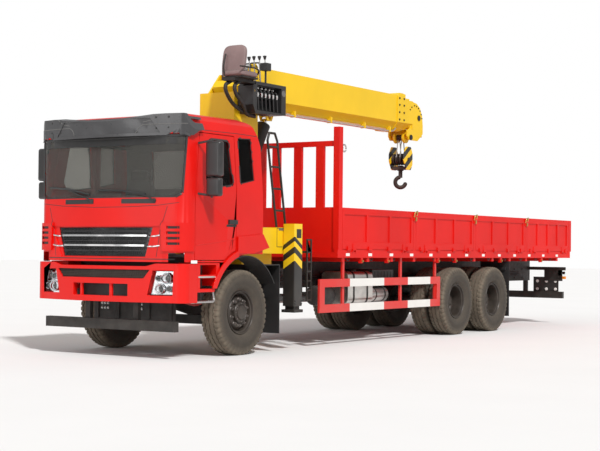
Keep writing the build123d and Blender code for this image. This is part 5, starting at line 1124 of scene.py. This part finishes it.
for x, y in ((4.0, 0.42), (3.93, 0.52)):
    hose = [(x - 0.12, y, 3.60), (x, y, 3.53), (x - 0.03, y, 3.42), (x - 0.25, y - 0.04, 3.29)]
    dark.append(pipe(eased(hose + [(3.52, 0.42, 3.19), (3.3, 0.4, 3.17)], 40), 0.026, 14))
piece("lever_rods", bright, "turret", bright_steel)
piece("lever_knobs", knobs, "turret", black_plastic)
piece("station_pipes", dark, "turret", hose_rubber)
piece("brass_fitting", turned_along(FITTING, (3.52, 0.5, 3.5), (0.3, 1, 0)), "turret", gold_metal)
dial = slab(CONSOLE, rect(3.21, 3.81, 3.306, 3.888), Y, out=0.002, cols=3)
piece("display_screen", dial, "turret", black_plastic)
piece("console_port", turned(PORT, (2.83, 0.5595, 3.52), "Y", 24), "turret", trim_grey)

form = pillow((3.6, 0.33, 3.645), (4.01, 0.69, 3.735))
cushion = piece("seat_cushion", form, "turret", seat_vinyl, 60, replaces="operator_seat")
form = tilted(pillow((3.925, 0.325, 3.69), (3.99, 0.695, 4.0785), 0.3), (3.99, 0.5, 3.69), -9)
back = piece("seat_back", form, "turret", seat_vinyl, 60)
carrier = [boxes((3.5, 0.38, 3.59), (4.0, 0.56, 3.632)), boxes((3.6, 0.35, 3.632), (3.97, 0.67, 3.65))]
armrest = [(4.07, 0.71, 3.76), (3.72, 0.71, 3.77), (3.62, 0.71, 3.74), (3.58, 0.55, 3.62)]
back_tube = [(4.0, 0.4, 3.66), (4.03, 0.4, 3.78), (3.98, 0.4, 3.95)]
carrier += [tube(armrest, 0.05, 0.011), tube(back_tube, 0.04, 0.012)]
piece("seat_carrier", carrier, "turret", dark_steel)

# Winch: laps of rope on the drum, a tube guard round it, and bolts on its flange
WINCH = np.array([3.045, 0.0, 3.835])
DRUM_R, LAP_R, LAP_HEIGHT, LAP_PITCH, LAP_STEP = 0.08, 0.0875, 0.006, 0.014, 0.0035
laps = np.arange(-0.103, 0.183, LAP_STEP)
lap_radii = LAP_R + LAP_HEIGHT * np.abs(np.sin(laps / LAP_PITCH * np.pi))
rope = [(DRUM_R, laps[0]), *zip(lap_radii, laps), (DRUM_R, laps[-1])]
piece("winch_rope", turned(rope, WINCH), "boom_base", wire, 60)
guard = [tube([(3.19, y, 3.7), (3.19, y, 3.93), (2.96, y, 3.965), (2.94, y, 3.7)], 0.04, 0.011)
         for y in (-0.235, 0.235)]
guard.append(rod((3.185, -0.235, 3.925), (3.185, 0.235, 3.925), 0.011))
piece("winch_guard", guard, "boom_base", dark_steel)
piece("winch_bolts", ringed(bolt(0.018, 0.01), WINCH, 0.1, 0.2, 8, 1), "boom_base", dark_steel)

# Boom: collar bolts, pipes in clips below, bolts and pins of the head, and the box at its tip
bolt_places = list(product((-1.15, -1.0), (3.5, 3.62, 3.74, 3.85)))
bolts = [fixed_on(bolt(0.026, 0.014), ("boom_base",), bolt_places, Y, side) for side in (1, -1)]
piece("collar_bolts", bolts, "boom_base", dark_steel)
below = [tube([(2.55, y, 3.36), (2.4, y, 3.30), (-0.9, y, 3.30), (-1.0, y, 3.36)], 0.06, 0.013)
         for y in (0.19, 0.155)]
piece("boom_pipes", below, "boom_base", aluminium)
clips = [box_at(x, 0.02, 0.13, 0.21, 3.28, 3.37) for x in (2.0, 1.0, 0.0, -0.8)]
piece("boom_clips", clips, "boom_base", crane_yellow, bevel=0.003)
HEAD = ("boom_tip",)
PIN = [(0, 0), (0.045, 0), (0.045, 0.012), (0.03, 0.02), (0, 0.02)]
t = np.linspace(0.25, 2.4, 9)
arc = np.stack([-1.66 - 0.26 * np.cos(t), 3.53 + 0.26 * np.sin(t)], -1)
head_bolts = []
for side in (1, -1):
    head_bolts.append(fixed_on(bolt(0.02, 0.01), HEAD, arc, Y, side))
    pin = turned(PIN, axis="Z", sides=20)
    head_bolts.append(fixed_on(pin, HEAD, [(-1.52, 3.245), (-1.8, 3.59)], Y, side, -0.002))
piece("head_bolts", head_bolts, "boom_tip", dark_steel)
cover = boxes((-2.0885, -0.0935, 3.2865), (-1.968, 0.0935, 3.5335))
piece("head_box", cover, "boom_tip", deep_red, bevel=0.004)

# Hook block: striped cheeks, grooved sheaves, rope falls up to the head's pin, and the crosshead
HOOK_X, BLOCK_Z, EYE_Z = -1.52, 2.88, 3.245
CHEEK = [(-0.095, 3.09), (0.07, 3.09), (0.15, 2.96), (0.15, 2.85), (0.06, 2.7), (-0.09, 2.7), (-0.15, 2.8),
         (-0.15, 2.98)]
GROOVE = [(0.03, -0.018), (0.096, -0.018), (0.098, -0.015), (0.084, -0.004), (0.084, 0.004), (0.098, 0.015),
          (0.096, 0.018), (0.03, 0.018)]
SHEAVE_PIN = [(0, -0.159), (0.026, -0.159), (0.028, -0.155), (0.028, 0.155), (0.026, 0.159), (0, 0.159)]
outline = rounded_outline([(HOOK_X + x, z) for x, z in CHEEK], 0.02)
cheeks = [prism(outline, 0.131, 0.147), prism(outline, -0.147, -0.131)]
piece("block_cheeks", cheeks, "hook_block", block_stripes, 30, 0.002, "hook_block")
sheaves = [turned(GROOVE, (HOOK_X, y, BLOCK_Z), "Y", 36) for y in (-0.105, -0.035, 0.035, 0.105)]
sheaves.append(turned(SHEAVE_PIN, (HOOK_X, 0, BLOCK_Z), "Y", 24))
sheaves.append(box_at(HOOK_X, 0.065, -0.131, 0.131, 2.705, 2.758))
sheaves.append(turned(band(0.0315, 0.05, -0.056, 0.056), (HOOK_X, 0, EYE_Z), "Y", 28))
piece("block_sheaves", sheaves, "hook_block", cast_iron, 35)
falls = [pipe(np.linspace((HOOK_X + dx, y, BLOCK_Z + 0.03), (HOOK_X + 0.3 * dx, y, EYE_Z - 0.02), 12), 0.0085)
         for y in (-0.035, 0.035) for dx in (-0.088, 0.088)]
piece("block_falls", falls, "hook_block", wire, 60)
piece("hook_nut", turned(band(0, 0.052, 0, 0.012), (HOOK_X, 0, 2.688), "Z", 24), "hook", cast_iron)

# Crane base and legs: the toolbox door's outline, a blank plate, and each leg's inset and bolts
toolbox = ribbon(("crane_base",), rect(3.36, 1.38, 3.6, 1.63), Y, 0.008, 0.003, closed=True)
piece("toolbox_lines", toolbox, "chassis", black_plastic)
plate = slab(("crane_base",), rect(3.4, 1.6, 3.56, 1.66), Y, out=0.004, cols=3)
piece("blank_plate", plate, "chassis", trim_grey)
for (side_name, side), leg_x in zip(SIDES, (3.375, 3.13)):
    leg = f"outrigger_{side_name}"
    inset = slab((leg,), rect(leg_x - 0.06, 1.5, leg_x + 0.05, 1.62), Y, side, 0.002, cols=3)
    leg_bolts = list(product((leg_x - 0.075, leg_x + 0.075), (0.62, 0.66)))
    leg_parts = [inset, fixed_on(bolt(0.02, 0.01), (leg,), leg_bolts, Y, side)]
    piece(f"leg_inset_{side_name}", leg_parts, leg, black_plastic)

# Load bed: latches on the posts, hinges under the panels, reflectors, rope rings and the front posts' rings
EDGE_Y = 1.22
LATCH_HOOP = ((0.045, 1.23, 1.86), (0.045, 1.246, 1.92), (-0.045, 1.246, 1.95), (-0.045, 1.23, 1.88))
POSTS = (2.35, 0.195, -1.86, -3.905)
HINGES = [POSTS[k] + (POSTS[k + 1] - POSTS[k]) * share for k in range(3) for share in (0.1, 0.37, 0.63, 0.9)]
LAST_HINGES = [-3.905 - 1.995 * share for share in (0.1, 0.5, 0.9)]
gold, red = [], []
for x in POSTS[1:]:
    red.append(box_at(x, 0.05, EDGE_Y - 0.004, EDGE_Y + 0.012, 1.80, 1.935))
    hoop = tube([(x + dx, y, z) for dx, y, z in LATCH_HOOP], 0.015, 0.011)
    gold += [hoop, box_at(x, 0.02, 1.225, 1.25, 1.80, 1.86)]
red += [box_at(x, 0.035, EDGE_Y - 0.004, EDGE_Y + 0.016, 1.33, 1.40) for x in HINGES + LAST_HINGES]
red += [turned(band(0, 0.014, -0.045, 0.045), (x, EDGE_Y + 0.012, 1.352), "X", 14) for x in HINGES]
for x in (1.75, 1.0, -0.6, -1.2, -2.9, -4.6):
    red.append(box_at(x, 0.03, EDGE_Y - 0.05, EDGE_Y - 0.005, 1.16, 1.245))
    gold.append(turned_along(band(0, 0.016, 0, 0.02), (x, EDGE_Y - 0.006, 1.19), AXES[Y]))
white = [box_at(x, 0.05, EDGE_Y - 0.004, EDGE_Y + 0.003, 1.262, 1.302) for x in np.arange(2.15, -5.8, -0.62)]
RING = ((-0.035, 1.245), (-0.035, 1.2), (0.035, 1.2), (0.035, 1.245))
rings = [tube([(x + dx, EDGE_Y - 0.03, z) for dx, z in RING], 0.02, 0.007) for x in np.arange(2.1, -5.7, -0.65)]
piece("latch_hooks", both_sides(*gold), "chassis", gold_metal)
piece("bed_fittings", both_sides(*red), "chassis", bed_red)
piece("side_reflectors", both_sides(*white), "chassis", reflector_white)
piece("rope_rings", both_sides(*rings), "chassis", dark_steel)
ring = np.insert(around(0.05, 24), 1, 0, axis=1) + (2.24, 1.2, 2.78)
eye = both_sides(pipe(ring, 0.011, closed=True), rod((2.31, 1.2, 2.78), (2.285, 1.2, 2.78), 0.02))
piece("post_ring", eye, "chassis", bright_steel)
rear = [boxes((-5.93, y - 0.05, 1.262), (-5.921, y + 0.05, 1.302)) for y in np.linspace(-1.0, 1.0, 5)]
piece("rear_reflectors", rear, "chassis", reflector_white)


# Tanks between the axles, in place of the plain solids: fuel tanks, air bottle, reservoir and battery box
def barrel(x0, x1, y, z, radius):
    """A cylinder along X with shallow domed ends."""
    t = np.linspace(0, np.pi / 2, 6)
    dome = [(radius * np.sin(a), x0 + 0.03 * (1 - np.cos(a))) for a in t]
    return turned(dome + [(r, x1 - (x - x0)) for r, x in dome[::-1]], (0, y, z), "X", 40)


def tank_sleeve(x0, x1, side, grown=0.0, radius=0.09):
    """The fuel tank's rounded section, or that of a strap round it, from x0 to x1."""
    corners = rect(side * (0.54 - grown), 0.568 - grown, side * (1.0 + grown), 1.035 + grown)
    return prism(rounded_outline(corners, radius, 7), x0, x1, "X")


# Each tank: its side, its two ends, and the places of its straps
TANKS = ((1, (1.068, 1.77), (1.23, 1.61)), (-1, (1.3, 2.3), (1.5, 2.1)))
STRAP_HALF, CARRIER = 0.022, (0.43, 0.545)
tanks, bands = [], []
for side, ends, straps in TANKS:
    tanks.append(tank_sleeve(*ends, side))
    for x in straps:
        bands.append(tank_sleeve(x - STRAP_HALF, x + STRAP_HALF, side, 0.004, 0.092))
        bands.append(box_at(x, STRAP_HALF, *sorted(side * y for y in CARRIER), 0.7, 1.0))
piece("fuel_tanks", tanks, "chassis", aluminium, 30, 0.008, "tanks")
bands += [box_at(x, 0.03, 0.43, 0.78, 0.66, 0.72) for x in (0.68, 0.94)]
bands += [boxes((2.12, 0.43, 0.7), (2.22, 0.78, 0.74)), boxes((2.12, 0.43, 0.7), (2.22, 0.442, 1.0))]
bands.append(boxes((0.7, 0.43, 0.85), (0.78, 0.505, 1.0)))
bands += [turned(band(0.109, 0.114, -0.015, 0.015), (x, 0.88, 0.69), "X", 36) for x in (0.68, 0.94)]
piece("tank_bands", bands, "chassis", dark_steel, 30, 0.003)
CAP = [(0, 0), (0.05, 0), (0.05, 0.03), (0.042, 0.036), (0, 0.036)]
caps = [turned(CAP, (x, y, 1.03), "Z", 24) for x, y in ((1.42, 0.86), (1.8, -0.86))]
piece("filler_caps", caps, "chassis", cast_iron, 30, 0.002)
piece("air_bottle", barrel(0.56, 1.06, 0.88, 0.69, 0.11), "chassis", tank_silver)
piece("oil_reservoir", barrel(1.95, 2.38, 0.78, 0.7, 0.14), "chassis", chassis_black)
hoop = turned(band(0.132, 0.143, -0.012, 0.012), (2.3, 0.78, 0.7), "X", 40)
piece("reservoir_ring", hoop, "chassis", bright_steel)
battery = [boxes((0.42, 0.5, 0.83), (1.05, 0.98, 1.06))]
battery += [box_at(x, 0.012, 0.975, 0.986, 0.85, 1.03) for x in np.linspace(0.5, 0.97, 6)]
piece("battery_box", battery, "chassis", black_plastic, 30, 0.008)

# Cab seats: padded cushions, backs and headrests on plain bases
bases = []
for number, y in enumerate((0.62, -0.62)):
    bases.append(boxes((4.6, y - 0.18, 1.33), (4.98, y + 0.18, 1.64)))
    for part, low_corner, high_corner, lean in (
        ("cushion", (4.56, y - 0.24, 1.63), (5.04, y + 0.24, 1.765), 0),
        ("back", (4.46, y - 0.23, 1.68), (4.58, y + 0.23, 2.27), -4),
        ("headrest", (4.45, y - 0.14, 2.25), (4.54, y + 0.14, 2.39), 0),
    ):
        form = tilted(pillow(low_corner, high_corner, 0.33), (4.5, y, 1.7), lean)
        piece(f"cab_{part}_{number}", form, "chassis", seat_cloth, 60)
piece("seat_bases", bases, "chassis", black_plastic, 30, 0.01, "cab_seats")

# Rear end: lenses and markers of the beam, plates with three by two round lamps, rail bolts and air lines
BEAM_LENS = [(0, 0), (0.026, 0), (0.024, -0.006), (0, -0.009)]
LAMP_BACK = [(0, 0), (0.03, 0), (0.026, 0.012), (0, 0.014)]
LAMP_LENS = [(0, 0), (0.055, 0), (0.055, -0.012), (0.045, -0.022), (0, -0.026)]
lamp_places = list(product((0.625, 0.808, 0.991), (0.644, 0.795)))
for name, forms, material in (
    ("tail_lenses", [turned(BEAM_LENS, (-5.76, y, 0.955), "X", 20) for y in (1.165, 1.105)], lamp_red),
    ("lamp_backs", [turned(LAMP_BACK, (-5.781, y, z), "X", 20) for y, z in lamp_places], reflector_white),
    ("plate_lenses", [turned(LAMP_LENS, (-5.791, y, z), "X", 28) for y, z in lamp_places], lamp_red),
):
    piece(name, both_sides(*forms), "chassis", material)
marker = boxes((-5.795, 1.12, 0.84), (-5.765, 1.2, 0.89))
piece("beam_markers", both_sides(marker), "chassis", lamp_amber, 30, 0.004)
plate = boxes((-5.792, 0.541, 0.6), (-5.78, 1.051, 0.875))
piece("lamp_plates", both_sides(plate), "chassis", chassis_black, 30, 0.003)
rail_places = [(x, 0.43, z) for x, z in product(np.arange(3.0, -5.6, -0.34), (0.86, 1.02))]
piece("rail_bolts", both_sides(copies(bolt(0.024, 0.012), rail_places, AXES[Y])), "chassis", dark_steel)
lines = [pipe([(3.0, 0.452, z), (-5.3, 0.452, z)], 0.011, 8) for z in (0.9, 0.93, 0.96)]
piece("air_lines", lines, "chassis", hose_rubber)
